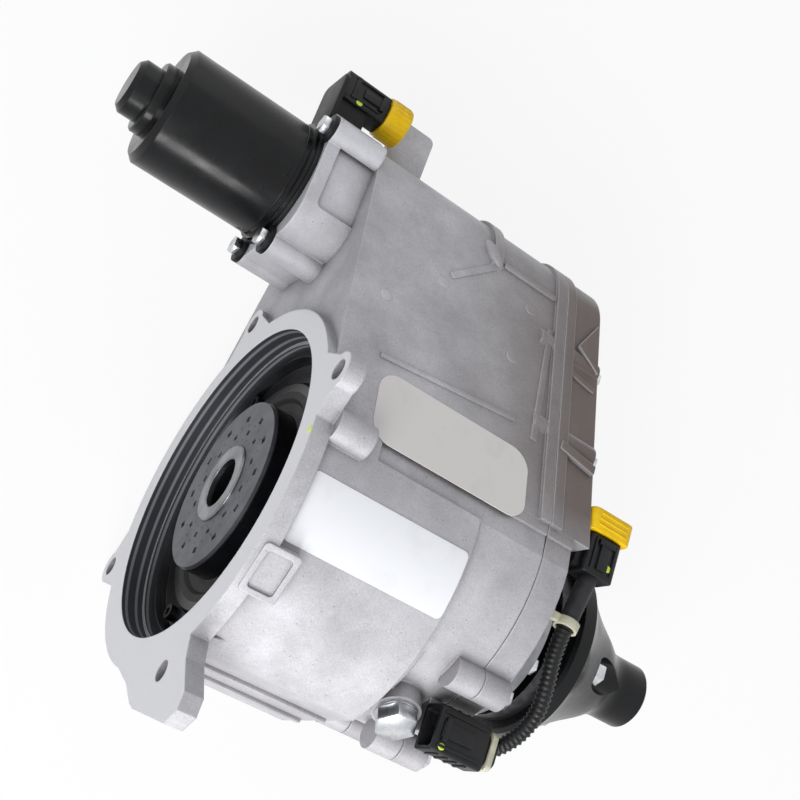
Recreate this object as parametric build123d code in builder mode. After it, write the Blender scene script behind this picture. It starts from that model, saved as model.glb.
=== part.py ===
from build123d import *
from math import acos, atan, cos, degrees, pi, radians, sin, tan
import os

# All-wheel-drive coupling in millimetres. The main axis is X: the bell mouth lies on X = 0 and faces -X,
# the output flange is at the +X end, the motor's axis lies on the +Y side, and +Z is up.

# Fits and gaps
RUN = 0.05
GAP = 0.3
PLATE_GAP = 0.15

# Gear train: modules and teeth set every centre distance
FINE_MODULE = 1.5
COARSE_MODULE = 2.0
MOTOR_TEETH = 12
STEP_LARGE_TEETH = 48
STEP_SMALL_TEETH = 12
IDLER_TEETH = 20
SECTOR_TEETH = 79
SECTOR_FIRST_TOOTH = -2
SECTOR_LAST_TOOTH = 8
PRESSURE_ANGLE = radians(25)
BACKLASH = 0.34
STEP_SHAFT_R = 7.0
STEP_FRONT = 36.0
STEP_BOSS_START = 140.0
STEP_GEAR_START = 54.0
STEP_GEAR_W = 12.0
STEP_HOLES = 6
STEP_HOLE_R = 5.0
STEP_HOLE_PITCH_R = 21.0
IDLER_BOSS_START = 131.0
PINION_START = 52.0
PINION_W = 16.0
IDLER_PIN_R = 6.0
IDLER_PIN_HEAD_H = 3.0
SECTOR_R = COARSE_MODULE * SECTOR_TEETH / 2
IDLER_Y = SECTOR_R + COARSE_MODULE * IDLER_TEETH / 2
STEP_Y = IDLER_Y + COARSE_MODULE * (IDLER_TEETH + STEP_SMALL_TEETH) / 2
MOTOR_Y = STEP_Y + FINE_MODULE * (STEP_LARGE_TEETH + MOTOR_TEETH) / 2

# Bell flange
BELL_BORE_R = 90.0
BELL_BORE_DEPTH = 13.0
BELL_RIM_R = 105.0
BELL_FLANGE_T = 10.0
BELL_RIM_SHIFT = 2.5
EAR_PITCH_R = 115.5
EAR_COUNT = 4
EAR_FIRST_DEG = -20.0
EAR_HOLE_R = 5.5
EAR_TIP_R = 10.0
EAR_ROOT_HALF = 30.0
WIDE_EAR = (
    (-98, -39),
    (-114, -1),
    (-124, 14),
    (-127, 21),
    (-134, 67),
    (-128, 77),
    (-119, 77),
    (-103, 63),
    (-84, 54),
)
STUD_BOSS_R = 9.0
STUD_BOSS_END = 31.0
STUD_BOSS_Y = 17.0
STUD_BOSS_Z = 101.0

# Housing casting
WALL = 7.0
REAR_WALL = 9.0
STEP_WALL = 4.0
BARREL_R = 100.0
BARREL_END = 105.0
RING_SEAT_R = 88.0
RING_SEAT_END = 46.0
CLUTCH_ROOM_R = 84.0
CLUTCH_ROOM_END = 110.0
RAMP_ROOM_R = 72.0
REAR_BARREL_R = 85.5
REAR_BARREL_SHIFT_Y = 10.0
REAR_BARREL_SHIFT_Z = 12.0
ARM_ROOT_R = BARREL_R
BAND_W = 7.0
BAND_PROUD = 2.0
RIB_X = 90.0
RIB_W = 7.0
RIB_PROUD = 2.5
FLAT_Y = 92.0
LUG_X = 13.0
LUG_DEG = 123.0
LUG_LENGTH = 20.0
LUG_W = 26.0
LUG_CORNER_R = 2.0
LUG_ROOT = 12.0
LUG_PROUD = 7.0
LUG_POCKET_DEPTH = 1.5
VALLEY_DEG = 79.0
VALLEY_DEPTH = 3.0
VALLEY_HALF_W = 6.0
VALLEY_START = 40.0
ARM_TIP_R = 46.0
ARM_FRONT = 5.0
ARM_ROOM_START = 50.0
ARM_ROOM_ROOT_R = 70.0
GASKET_T = 0.8
GASKET_INSET = 1.0
SPLIT = 148.0
BARREL_REAR = 165.0
ARM_REAR = 176.0
ARM_STEP_Y = 28.0
COVER_WALL = 8.0

# Front ring, input bearing and seal
RING_FRONT = 16.0
RING_BORE_R = 62.0
RING_LIP_R = 56.0
BEARING_BALLS = 14
INPUT_BEARING_START = 28.0
INPUT_BEARING_W = 14.0
SEAL_START = 19.0
SEAL_W = 7.0
RING_SCREW_COUNT = 6
RING_SCREW_PITCH_R = 75.0
RING_FLOOR = 22.0
RING_SCREW_LENGTH = 18.0
CAP_SCREW_R = 2.5
CAP_SCREW_HEAD_R = 4.25
CAP_SCREW_HEAD_H = 4.0

# Input drum
DRUM_FRONT = 8.0
DRUM_R = 49.0
DRUM_BORE_R = 14.0
DRUM_BORE_DEPTH = 34.0
DRUM_POCKET_R = 43.0
DRUM_POCKET_END = 26.0
HUB_RING_R = 22.2
HUB_RING_PROUD = 3.5
FRONT_DISC_T = 2.0
FRONT_DISC_HOLES = 12
FRONT_DISC_OUTER_R = 39.0
FRONT_DISC_INNER_R = 30.0
FRONT_DISC_HOLE_R = 1.7
BASKET_FLOOR = 50.0
BASKET_FLOOR_T = 6.0
BASKET_R = 76.0
BASKET_BORE_R = 70.0
BASKET_END = 104.0
SPLINE_COUNT = 12
SPLINE_SLOT_W = 8.0
SPLINE_SIDE_GAP = 0.2

# Clutch pack
PLATE_T = 2.0
PLATE_PAIRS = 9
STEEL_BORE_R = 50.0
FRICTION_R = 68.0
CLUTCH_STROKE = 1.2
CLUTCH_FREE = 1.5
PRESSURE_PLATE_T = 6.0
HUB_R = 47.0
HUB_SLOT_R = 43.0
HUB_START = 58.0
HUB_WEB_T = 7.0

# Ball ramp
THRUST_T = 4.0
THRUST_R = 56.0
THRUST_BORE_R = 44.0
THRUST_NEEDLES = 36
RAMP_RING_T = 7.0
RAMP_RING_R = 58.0
RAMP_LUG_R = 7.5
RAMP_BORE_R = 30.0
RAMP_BALL_R = 4.0
RAMP_BALL_PITCH_R = 50.0
RAMP_BALLS = 5
RAMP_GROOVE_R = 4.2
RAMP_FACE_GAP = 2.7
TRACK_END_DEG = 5.5
CAM_RING_T = 10.0
CAM_TRAVEL_DEG = 30.0
CAGE_T = 1.2
GUIDE_PIN_R = 4.0
PIN_BOSS_WALL = 4.0
GUIDE_PIN_PITCH_R = 63.5
GUIDE_PIN_DEGS = (115.0, 245.0)
SLEEVE_BORE_R = 24.0

# Output side
SHAFT_R = 18.0
NOSE_R = 12.0
NOSE_START = 45.0
NOSE_BUSH_R = 16.0
OUTPUT_BEARING_R = 36.0
OUTPUT_BEARING_START = 160.0
OUTPUT_BEARING_W = 16.0
SNOUT_R = 54.0
SNOUT_END = 190.0
RETAINER_T = 6.0
RETAINER_BOLTS = 6
RETAINER_BOLT_PITCH_R = 46.0
RETAINER_BOLT_DEPTH = 14.0
SHAFT_FLANGE_START = 203.0
SHAFT_FLANGE_T = 10.0
SHAFT_FLANGE_R = 50.0
PILOT_R = 20.0
PILOT_LENGTH = 4.0
OUTPUT_BEARING_BALLS = 10
OUTPUT_SEAL_START = 181.0
SEAL_CASE_T = 4.0
FLANGE_R = 57.0
FLANGE_RIM_T = 10.0
FLANGE_LENGTH = 88.0
FLANGE_TIP_R = 20.0
FLANGE_TIP_LENGTH = 18.0
FLANGE_FLARE = ((0.25, 0.78), (0.5, 0.607), (0.73, 0.465))
FLANGE_TIP_BORE_R = 13.0
FLANGE_TIP_BORE_DEPTH = 40.0
FLANGE_BOLTS = 4
FLANGE_BOLT_PITCH_R = 31.0
FLANGE_BOLT_FIRST_DEG = 101.0
FLANGE_BOLT_R = 4.0
FLANGE_BOLT_HEAD_AF = 13.0
FLANGE_BOLT_HEAD_H = 7.0
FLANGE_POCKET_R = 10.5
FLANGE_POCKET_FLOOR = 33.0

# Motor and pod
MOTOR_R = 35.8
MOTOR_WALL = 2.0
MOTOR_FACE = -30.0
MOTOR_END = -111.5
MOTOR_STEP_R = 21.5
MOTOR_STEP_END = -118.5
MOTOR_BOSS_R = 16.5
MOTOR_BOSS_END = -131.0
MOTOR_PLATE_T = 3.0
PLATE_PAD_H = 13.0
PLATE_PAD_T = 20.0
MOTOR_SHAFT_R = 4.0
ROTOR_R = 22.0
ROTOR_START = -92.0
ROTOR_END = -50.0
MOTOR_BOLT_PITCH_R = 45.0
MOTOR_BOLT_DEGS = (60.0, 165.0, 218.0, 325.0)
MOTOR_BOLT_R = 3.0
MOTOR_BOLT_AF = 10.0
MOTOR_BOLT_HEAD_H = 4.5
MOTOR_BOLT_LENGTH = 22.0
PLATE_WING_LENGTH = 36.0
PLATE_WING_W = 28.0
PLATE_WING_PROUD = 3.0
ROTOR_SLOTS = 12
BRUSH_TOP_R = 22.0
POD_RECESS_X = -6.0
POD_RECESS_Y = -2.0
POD_RECESS_LENGTH = 26.0
POD_RECESS_W = 46.0
POD_RECESS_DEPTH = 2.5
POD_HALF_Y = 42.0
POD_HALF_Z = 41.0
POD_CORNER_R = 20.0
POD_BORE_R = 20.0
POD_POCKET_R = 33.0
POD_POCKET_END = -6.0
POD_EAR_R = 8.5
POD_SCREW_PITCH_R = 27.0
POD_SCREW_LENGTH = 26.0
POD_SCREW_DEGS = (45.0, 135.0, 225.0, 315.0)
BUSH_R = 8.0
COMMUTATOR_R = 10.0
COMMUTATOR_LENGTH = 10.0
BRUSH_CARRIER_T = 3.0
MAGNET_T = 9.0

# Connectors and caps
UPPER_PLUG_Y = 240.0
UPPER_PLUG_Z = 20.0
UPPER_BODY_W = 19.0
UPPER_BODY_END = 3.0
SPIGOT_R = 9.0
SPIGOT_LENGTH = 12.0
CAP_R = 12.5
CAP_LENGTH = 15.0
CAP_WALL = 2.0
TAB_X = 33.0
TAB_LENGTH = 40.0
TAB_W = 27.0
TAB_T = 6.0
TAB_ROOT = 4.0
TAB_CORNER_R = 4.0
LOWER_PLUG_X = 191.5
LOWER_PLUG_Z = 80.0
LOWER_BODY_BOTTOM = 22.0
LOWER_BODY_TOP = 45.0
LOWER_BODY_W = 22.0
LOWER_BODY_T = 16.0
LOWER_CAP_LENGTH = 13.0
LOWER_CAP_W = 29.0
LOWER_CAP_T = 20.0
SLEEVE_R = 5.2
CONDUIT_R = 4.6
TAIL_X = 153.0
TAIL_SEAT_START = 138.0
TAIL_SEAT_LENGTH = 8.0
TAIL_LENGTH = 32.0
TAIL_Y = -82.0
TAIL_W = 24.0
TAIL_Z = 58.0
TAIL_T = 16.0
TAIL_NECK_LENGTH = 8.0
TAIL_SEAT_SHIFT = 8.0
TAIL_SEAT_W = 20.0
TAIL_SEAT_H = 14.0
TAIL_SOCKET_DEPTH = 18.0
TAIL_PIN_LENGTH = 11.0
CONTACT_R = 0.8
CONTACT_SPACING = 5.0
CAP_SLIP = 0.15
SOCKET_SINK = 2.0
BRACKET_Y = 33.0
BRACKET_Z = 76.0
BRACKET_W = 18.0
BRACKET_H = 16.0
CLIP_WALL = 1.6
CLIP_W = 5.0
CLIP_ARM_SHIFT = 3.0
CLIP_ARM_T = 3.5

# Cover screws: places on the joint between housing and rear cover
COVER_BOLT_R = 3.0
COVER_BOSS_R = 9.0
COVER_BOLT_AF = 10.0
COVER_BOLT_HEAD_H = 4.5
COVER_BOSS_DEPTH = 17.0
COVER_BOLT_DEPTH = 13.0
BARREL_BOLT_PITCH_R = 89.0
BARREL_BOLT_DEGS = (128.0, 172.0, 214.0, 252.0)
UPPER_ARM_BOLT_YS = (88.0, 148.0)
LOWER_ARM_BOLT_YS = (72.0, 148.0)
ARM_BOLT_PROUD = -7.5
TIP_BOLT_DEGS = (-4.0, -64.0)
DOWEL_R = 3.0
DOWEL_HALF = 9.0
DOWEL_DEGS = (63.0, -63.0)

# Fill plug
PLUG_X = 123.0
PLUG_DEG = 150.0
PLUG_SEAT_R = 93.0
PLUG_BOSS_R = 13.0
PLUG_AF = 20.0
PLUG_HEAD_H = 8.0
PLUG_THREAD_R = 8.0
WASHER_T = 1.5
PLUG_THREAD_LENGTH = 10.0

# Labels
LABEL_T = 0.3
LABEL_GLUE_T = 0.05
BARREL_LABEL_LENGTH = 93.0
BARREL_LABEL_START = 11.0
BARREL_LABEL_W = 36.0
BARREL_LABEL_DEG = 104.0
ARM_LABEL_START = 32.0
ARM_LABEL_LENGTH = 98.0
ARM_LABEL_W = 44.0
ARM_LABEL_Y = 44.0
ARM_LABEL_CORNER_R = 12.0

os.makedirs("parts", exist_ok=True)


def save(builder, name):
    builder.part.label = name
    export_step(builder.part, f"parts/{name}.step")


def across(x, y=0.0, z=0.0):
    """A plane square to the main axis: local x is +Y, local y is +Z, and its normal is +X."""
    return Plane(origin=(x, y, z), x_dir=(0, 1, 0), z_dir=(1, 0, 0))


def outward(x, deg, radius):
    """A plane that faces away from the main axis at an angle from +Y toward +Z; its local x is +X."""
    direction = (0, cos(radians(deg)), sin(radians(deg)))
    return Plane(origin=(x, radius * direction[1], radius * direction[2]), x_dir=(1, 0, 0), z_dir=direction)


def polar(radius, deg, y=0.0):
    """The (y, z) of a point at a radius and angle about an axis along X."""
    return (y + radius * cos(radians(deg)), radius * sin(radians(deg)))


def ring(start, end, outer, inner=0.0, at=(0.0, 0.0), mode=Mode.ADD):
    """A straight ring or disc along X from start to end, about the point at (y, z)."""
    with BuildSketch(across(start, *at)) as face:
        Circle(outer)
        if inner > 0:
            Circle(inner, mode=Mode.SUBTRACT)
    extrude(face.sketch, amount=end - start, mode=mode)


def hole(start, end, radius, at=(0.0, 0.0)):
    """A round hole along X from start to end."""
    ring(start, end, radius, at=at, mode=Mode.SUBTRACT)


def turned(points, y=0.0, mode=Mode.ADD):
    """A body of revolution about X from a closed outline of (x, radius) points."""
    with BuildSketch(Plane(origin=(0, y, 0))) as face:
        with BuildLine():
            Polyline(*points, close=True)
        make_face()
    revolve(face.sketch, axis=Axis((0, y, 0), (1, 0, 0)), mode=mode)


def arm_body(start, end, root_r, tip_r, round_root=False, mode=Mode.ADD):
    """Two circles, on the main axis and on the motor's axis, joined by their tangents, from start to end."""
    slope = acos((root_r - tip_r) / MOTOR_Y)
    up = (cos(slope), sin(slope))
    with BuildSketch(across(start)) as face:
        if round_root:
            Circle(root_r)
        with Locations((MOTOR_Y, 0)):
            Circle(tip_r)
        with BuildLine():
            Polyline(
                (root_r * up[0], root_r * up[1]),
                (MOTOR_Y + tip_r * up[0], tip_r * up[1]),
                (MOTOR_Y + tip_r * up[0], -tip_r * up[1]),
                (root_r * up[0], -root_r * up[1]),
                close=True,
            )
        make_face()
    extrude(face.sketch, amount=end - start, mode=mode)


def rear_barrel(start, end, shrink=0.0):
    """The rear barrel: fuller on the upper side than on the lower one."""
    with BuildSketch(across(start)) as face:
        Circle(RAMP_ROOM_R + REAR_WALL - shrink)
        with Locations((REAR_BARREL_SHIFT_Y, REAR_BARREL_SHIFT_Z)):
            Circle(REAR_BARREL_R - shrink)
    extrude(face.sketch, amount=end - start)


def gear_outline(module, teeth, first_deg):
    """Points of a full gear's outline with involute flanks; one tooth's middle lies at first_deg."""
    pitch_r = module * teeth / 2
    base_r = pitch_r * cos(PRESSURE_ANGLE)
    tip_r = pitch_r + 0.95 * module
    root_r = pitch_r - 1.2 * module
    half_tooth = pi / (2 * teeth) - BACKLASH / (4 * pitch_r)
    low_r = max(base_r, root_r)
    radii = [low_r + (tip_r - low_r) * step / 4 for step in range(5)]

    def half_angle(radius):
        angle = acos(min(1.0, base_r / radius))
        return half_tooth + (tan(PRESSURE_ANGLE) - PRESSURE_ANGLE) - (tan(angle) - angle)

    points = []
    for tooth in range(teeth):
        middle = radians(first_deg) + 2 * pi * tooth / teeth
        flank = [(root_r, -half_angle(low_r))] if root_r < low_r - 0.01 else []
        flank += [(radius, -half_angle(radius)) for radius in radii]
        flank += [(radius, -turn) for radius, turn in reversed(flank)]
        points += [(radius * cos(middle + turn), radius * sin(middle + turn)) for radius, turn in flank]
    return points


def gear(start, width, module, teeth, first_deg, y):
    """A spur gear about an axis along X."""
    with BuildSketch(across(start, y)) as face:
        with BuildLine():
            Polyline(*gear_outline(module, teeth, first_deg), close=True)
        make_face()
    extrude(face.sketch, amount=width)


def ball_bearing(start, width, bore, outer, balls):
    """Two grooved rings with balls between them, as separate solids."""
    middle = start + width / 2
    pitch = (bore + outer) / 2
    ball_r = (outer - bore) * 0.29
    land = ball_r * 0.62
    ring(start, start + width, pitch - land, bore)
    ring(start, start + width, outer, pitch + land)
    with Locations(across(middle)):
        Torus(pitch, ball_r + 0.05, mode=Mode.SUBTRACT)
    with Locations(across(middle)):
        with PolarLocations(pitch, balls):
            Sphere(ball_r)


def hex_bolt(plane, shank_r, length, across_flats, head_h):
    """A hexagon bolt whose head rests on the plane and whose shank goes below it."""
    with BuildSketch(plane) as head:
        RegularPolygon(across_flats / 2, 6, major_radius=False)
    extrude(head.sketch, amount=head_h)
    with BuildSketch(plane) as shank:
        Circle(shank_r)
    extrude(shank.sketch, amount=-length)


def cap_screw(seat, length, at):
    """A cylinder-head screw whose head stands toward -X from its seat."""
    ring(seat - CAP_SCREW_HEAD_H, seat, CAP_SCREW_HEAD_R, at=at)
    ring(seat, seat + length, CAP_SCREW_R, at=at)
    with BuildSketch(across(seat - CAP_SCREW_HEAD_H, *at)) as socket:
        RegularPolygon(CAP_SCREW_R, 6)
    extrude(socket.sketch, amount=CAP_SCREW_HEAD_H / 2, mode=Mode.SUBTRACT)


# Where the cover screws go, as (y, z), each with the X its head rests on
arm_slope = acos((ARM_ROOT_R - ARM_TIP_R) / MOTOR_Y)
arm_up = (cos(arm_slope), sin(arm_slope))
cover_bolt_places = [(polar(BARREL_BOLT_PITCH_R, deg), BARREL_REAR) for deg in BARREL_BOLT_DEGS]
for side, bolt_ys in ((1, UPPER_ARM_BOLT_YS), (-1, LOWER_ARM_BOLT_YS)):
    for bolt_y in bolt_ys:
        surface_z = (ARM_ROOT_R - bolt_y * arm_up[0]) / arm_up[1]
        cover_bolt_places.append(((bolt_y, side * (surface_z + ARM_BOLT_PROUD)), ARM_REAR))
cover_bolt_places += [(polar(ARM_TIP_R, deg, MOTOR_Y), ARM_REAR) for deg in TIP_BOLT_DEGS]


def valley(start, end):
    """The shallow groove where the arm's broad face meets the barrel."""
    with BuildSketch(across(start)) as groove:
        with Locations(Rot(0, 0, VALLEY_DEG)):
            with Locations((BARREL_R + 1, 0)):
                Rectangle(2 * VALLEY_DEPTH, VALLEY_HALF_W * 2)
    extrude(groove.sketch, amount=end - start, mode=Mode.SUBTRACT)


def ear(deg):
    """A bolt ear on the bell flange's rim, widening toward its root."""
    direction = Vector(*polar(1, deg))
    side = Vector(-direction.Y, direction.X)
    root = direction * BELL_RIM_R * 0.86
    tip = direction * EAR_PITCH_R
    with BuildLine() as outline:
        Polyline(
            root + side * EAR_ROOT_HALF,
            tip + side * EAR_TIP_R,
            tip - side * EAR_TIP_R,
            root - side * EAR_ROOT_HALF,
            close=True,
        )
    make_face(outline.edges())
    with Locations(tip):
        Circle(EAR_TIP_R)


ring_screw_step = 360 / RING_SCREW_COUNT
ring_screw_places = [polar(RING_SCREW_PITCH_R, ring_screw_step * (k + 0.5)) for k in range(RING_SCREW_COUNT)]
pod_screw_places = [polar(POD_SCREW_PITCH_R, deg, MOTOR_Y) for deg in POD_SCREW_DEGS]
retainer_bolt_places = [polar(RETAINER_BOLT_PITCH_R, 360 / RETAINER_BOLTS * k) for k in range(RETAINER_BOLTS)]
motor_bolt_places = [polar(MOTOR_BOLT_PITCH_R, deg, MOTOR_Y) for deg in MOTOR_BOLT_DEGS]
guide_pin_places = [polar(GUIDE_PIN_PITCH_R, deg) for deg in GUIDE_PIN_DEGS]
dowel_places = [polar(BARREL_BOLT_PITCH_R, deg) for deg in DOWEL_DEGS]
ear_degs = [EAR_FIRST_DEG + 360 / EAR_COUNT * k for k in range(EAR_COUNT)]
motor_axis = (MOTOR_Y, 0.0)
step_axis = (STEP_Y, 0.0)
idler_axis = (IDLER_Y, 0.0)
split_front = SPLIT - GASKET_T

with BuildPart() as main_housing:
    # Bell flange: a round rim with four bolt ears, the lower one drawn out wide
    with BuildSketch(across(0)):
        with Locations((-BELL_RIM_SHIFT, 0)):
            Circle(BELL_RIM_R)
        for deg in ear_degs:
            ear(deg)
        with BuildLine():
            Polyline(*WIDE_EAR, close=True)
        make_face()
    extrude(amount=BELL_FLANGE_T)
    ring(BELL_FLANGE_T, BARREL_END, BARREL_R)
    rear_barrel(BARREL_END, split_front)
    # Collar that keeps a wall round the end of the clutch room, behind the barrel's step
    ring(BARREL_END, CLUTCH_ROOM_END + STEP_WALL, CLUTCH_ROOM_R + STEP_WALL)
    arm_body(ARM_FRONT, split_front, ARM_ROOT_R, ARM_TIP_R)
    for place, _ in cover_bolt_places:
        ring(SPLIT - COVER_BOSS_DEPTH, split_front, COVER_BOSS_R, at=place)
    # Square lug and round boss behind the flange, plug boss and the seat under the tail connector
    with BuildSketch(outward(LUG_X, LUG_DEG, BARREL_R - LUG_ROOT)):
        RectangleRounded(LUG_LENGTH, LUG_W, LUG_CORNER_R)
    extrude(amount=LUG_ROOT + LUG_PROUD)
    with BuildSketch(outward(LUG_X, LUG_DEG, BARREL_R + LUG_PROUD)):
        RectangleRounded(LUG_LENGTH - 6, LUG_W - 6, LUG_CORNER_R)
    extrude(amount=-LUG_POCKET_DEPTH, mode=Mode.SUBTRACT)
    ring(BELL_FLANGE_T, STUD_BOSS_END, STUD_BOSS_R, at=(STUD_BOSS_Y, STUD_BOSS_Z))
    with BuildSketch(outward(PLUG_X, PLUG_DEG, RAMP_ROOM_R + WALL - 2)):
        Circle(PLUG_BOSS_R)
    extrude(amount=PLUG_SEAT_R - RAMP_ROOM_R - WALL + 2)
    with BuildSketch(Plane.XY.offset(TAIL_Z - TAIL_T / 2)):
        with Locations((TAIL_SEAT_START, TAIL_Y + TAIL_SEAT_SHIFT)):
            Rectangle(TAIL_SEAT_LENGTH, TAIL_SEAT_W, align=(Align.MIN, Align.CENTER))
    extrude(amount=-TAIL_SEAT_H)
    # Flat casting tab past the arm's tip
    with BuildSketch(Plane.XY):
        with Locations((TAB_X, MOTOR_Y + ARM_TIP_R - TAB_ROOT + TAB_LENGTH / 2)):
            RectangleRounded(TAB_W, TAB_LENGTH, TAB_CORNER_R)
    extrude(amount=TAB_T)
    # Raised band by the split and a rib over the arm's tip
    arm_body(split_front - BAND_W, split_front, ARM_ROOT_R + BAND_PROUD, ARM_TIP_R + BAND_PROUD)
    ring(RIB_X, RIB_X + RIB_W, ARM_TIP_R + RIB_PROUD, at=motor_axis)
    # Flat along the barrel's lower side
    with BuildSketch(across(BELL_FLANGE_T)):
        with Locations((-FLAT_Y, 0)):
            Rectangle(BARREL_R, 2 * BARREL_R, align=(Align.MAX, Align.CENTER))
    extrude(amount=BARREL_END - BELL_FLANGE_T, mode=Mode.SUBTRACT)
    # Bores from the bell mouth inward
    hole(0, BELL_BORE_DEPTH, BELL_BORE_R)
    hole(BELL_BORE_DEPTH, RING_SEAT_END, RING_SEAT_R)
    hole(RING_SEAT_END, CLUTCH_ROOM_END, CLUTCH_ROOM_R)
    hole(CLUTCH_ROOM_END, SPLIT, RAMP_ROOM_R)
    # Gear room in the arm, the shaft hole from the pod and the step shaft's blind bearing
    arm_body(ARM_ROOM_START, SPLIT, ARM_ROOM_ROOT_R, ARM_TIP_R - WALL, round_root=True, mode=Mode.SUBTRACT)
    hole(ARM_FRONT, ARM_ROOM_START, POD_BORE_R, at=motor_axis)
    hole(STEP_FRONT, ARM_ROOM_START, STEP_SHAFT_R + RUN, at=step_axis)
    valley(VALLEY_START, SPLIT)
    # Holes
    for deg in ear_degs:
        hole(0, BELL_FLANGE_T, EAR_HOLE_R, at=polar(EAR_PITCH_R, deg))
    for place, _ in cover_bolt_places:
        hole(SPLIT - COVER_BOLT_DEPTH, SPLIT, COVER_BOLT_R, at=place)
    for place in dowel_places:
        hole(SPLIT - DOWEL_HALF, SPLIT, DOWEL_R, at=place)
    with BuildSketch(outward(PLUG_X, PLUG_DEG, PLUG_SEAT_R)):
        Circle(PLUG_THREAD_R)
    extrude(amount=-PLUG_THREAD_LENGTH, mode=Mode.SUBTRACT)
    for place in pod_screw_places:
        hole(ARM_FRONT, POD_POCKET_END + POD_SCREW_LENGTH, CAP_SCREW_R, at=place)
save(main_housing, "main_housing")

# Places along X that follow from the stack in the barrel
plates_start = BASKET_FLOOR + BASKET_FLOOR_T + PLATE_GAP
plates_end = plates_start + PLATE_PAIRS * 2 * (PLATE_T + PLATE_GAP) - PLATE_GAP
pressure_start = plates_end + CLUTCH_FREE
pressure_end = pressure_start + PRESSURE_PLATE_T
thrust_start = pressure_end + 0.1
ramp_start = thrust_start + THRUST_T
ramp_end = ramp_start + RAMP_RING_T
cam_start = ramp_end + RAMP_FACE_GAP
cam_end = cam_start + CAM_RING_T
rear_thrust_start = cam_end + RUN
rear_thrust_end = rear_thrust_start + THRUST_T
cover_room_end = BARREL_REAR - COVER_WALL
ball_x = (ramp_end + cam_start) / 2
step_shaft_end = cover_room_end - 2 - GAP

with BuildPart() as rear_cover:
    rear_barrel(SPLIT, BARREL_REAR)
    arm_body(SPLIT, ARM_REAR, ARM_ROOT_R, ARM_TIP_R)
    with BuildSketch(across(BARREL_REAR)):
        with Locations((ARM_STEP_Y, 0)):
            Rectangle(2 * BARREL_R, 3 * BARREL_R, align=(Align.MAX, Align.CENTER))
    extrude(amount=ARM_REAR - BARREL_REAR, mode=Mode.SUBTRACT)
    arm_body(SPLIT, SPLIT + BAND_W, ARM_ROOT_R + BAND_PROUD, ARM_TIP_R + BAND_PROUD)
    for place, seat in cover_bolt_places:
        ring(SPLIT, seat, COVER_BOSS_R, at=place)
    ring(BARREL_REAR, SNOUT_END, SNOUT_R)
    # Room for the cam ring and gears, then the hub that carries ramp and bearing
    arm_body(SPLIT, cover_room_end, RAMP_ROOM_R, ARM_TIP_R - WALL, round_root=True, mode=Mode.SUBTRACT)
    ring(rear_thrust_end, cover_room_end, RAMP_RING_R + 2)
    ring(ramp_start - THRUST_T, rear_thrust_end, RAMP_BORE_R - RUN)
    for place in guide_pin_places:
        ring(rear_thrust_end, cover_room_end, GUIDE_PIN_R + PIN_BOSS_WALL, at=place)
    ring(IDLER_BOSS_START, cover_room_end, IDLER_PIN_R + PIN_BOSS_WALL, at=idler_axis)
    ring(STEP_BOSS_START, cover_room_end, STEP_SHAFT_R + PIN_BOSS_WALL, at=step_axis)
    # Bores
    hole(ramp_start - THRUST_T, OUTPUT_BEARING_START, SLEEVE_BORE_R)
    hole(OUTPUT_BEARING_START, SNOUT_END, OUTPUT_BEARING_R)
    for place in guide_pin_places:
        hole(rear_thrust_end, cover_room_end, GUIDE_PIN_R, at=place)
    hole(IDLER_BOSS_START, cover_room_end, IDLER_PIN_R, at=idler_axis)
    hole(STEP_BOSS_START, step_shaft_end + GAP, STEP_SHAFT_R + RUN, at=step_axis)
    for place, seat in cover_bolt_places:
        hole(SPLIT, seat, COVER_BOLT_R, at=place)
    for place in dowel_places:
        hole(SPLIT, SPLIT + DOWEL_HALF, DOWEL_R, at=place)
    for place in retainer_bolt_places:
        hole(SNOUT_END - COVER_BOLT_DEPTH, SNOUT_END, COVER_BOLT_R, at=place)
    valley(SPLIT, BARREL_REAR)
save(rear_cover, "rear_cover")

with BuildPart() as cover_gasket:
    rear_barrel(split_front, SPLIT, GASKET_INSET)
    arm_body(split_front, SPLIT, ARM_ROOT_R - GASKET_INSET, ARM_TIP_R - GASKET_INSET)
    arm_body(split_front, SPLIT, RAMP_ROOM_R, ARM_TIP_R - WALL, round_root=True, mode=Mode.SUBTRACT)
    for place, _ in cover_bolt_places:
        hole(split_front, SPLIT, COVER_BOLT_R, at=place)
    for place in dowel_places:
        hole(split_front, SPLIT, DOWEL_R, at=place)
save(cover_gasket, "cover_gasket")

# Hexagon bolts of one size hold the rear cover and the bearing retainer
with BuildPart() as cover_bolts:
    for place, seat in cover_bolt_places:
        bolt_length = seat - SPLIT + COVER_BOLT_DEPTH
        hex_bolt(across(seat, *place), COVER_BOLT_R, bolt_length, COVER_BOLT_AF, COVER_BOLT_HEAD_H)
    retainer_seat = SNOUT_END + RETAINER_T
    for place in retainer_bolt_places:
        bolt_length = RETAINER_T + COVER_BOLT_DEPTH
        hex_bolt(across(retainer_seat, *place), COVER_BOLT_R, bolt_length, COVER_BOLT_AF, COVER_BOLT_HEAD_H)
save(cover_bolts, "cover_bolts")

with BuildPart() as dowel_pins:
    for place in dowel_places:
        ring(SPLIT - DOWEL_HALF, SPLIT + DOWEL_HALF, DOWEL_R, at=place)
save(dowel_pins, "dowel_pins")

with BuildPart() as guide_pins:
    for place in guide_pin_places:
        ring(ramp_start - CLUTCH_STROKE, cover_room_end, GUIDE_PIN_R, at=place)
save(guide_pins, "guide_pins")

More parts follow.
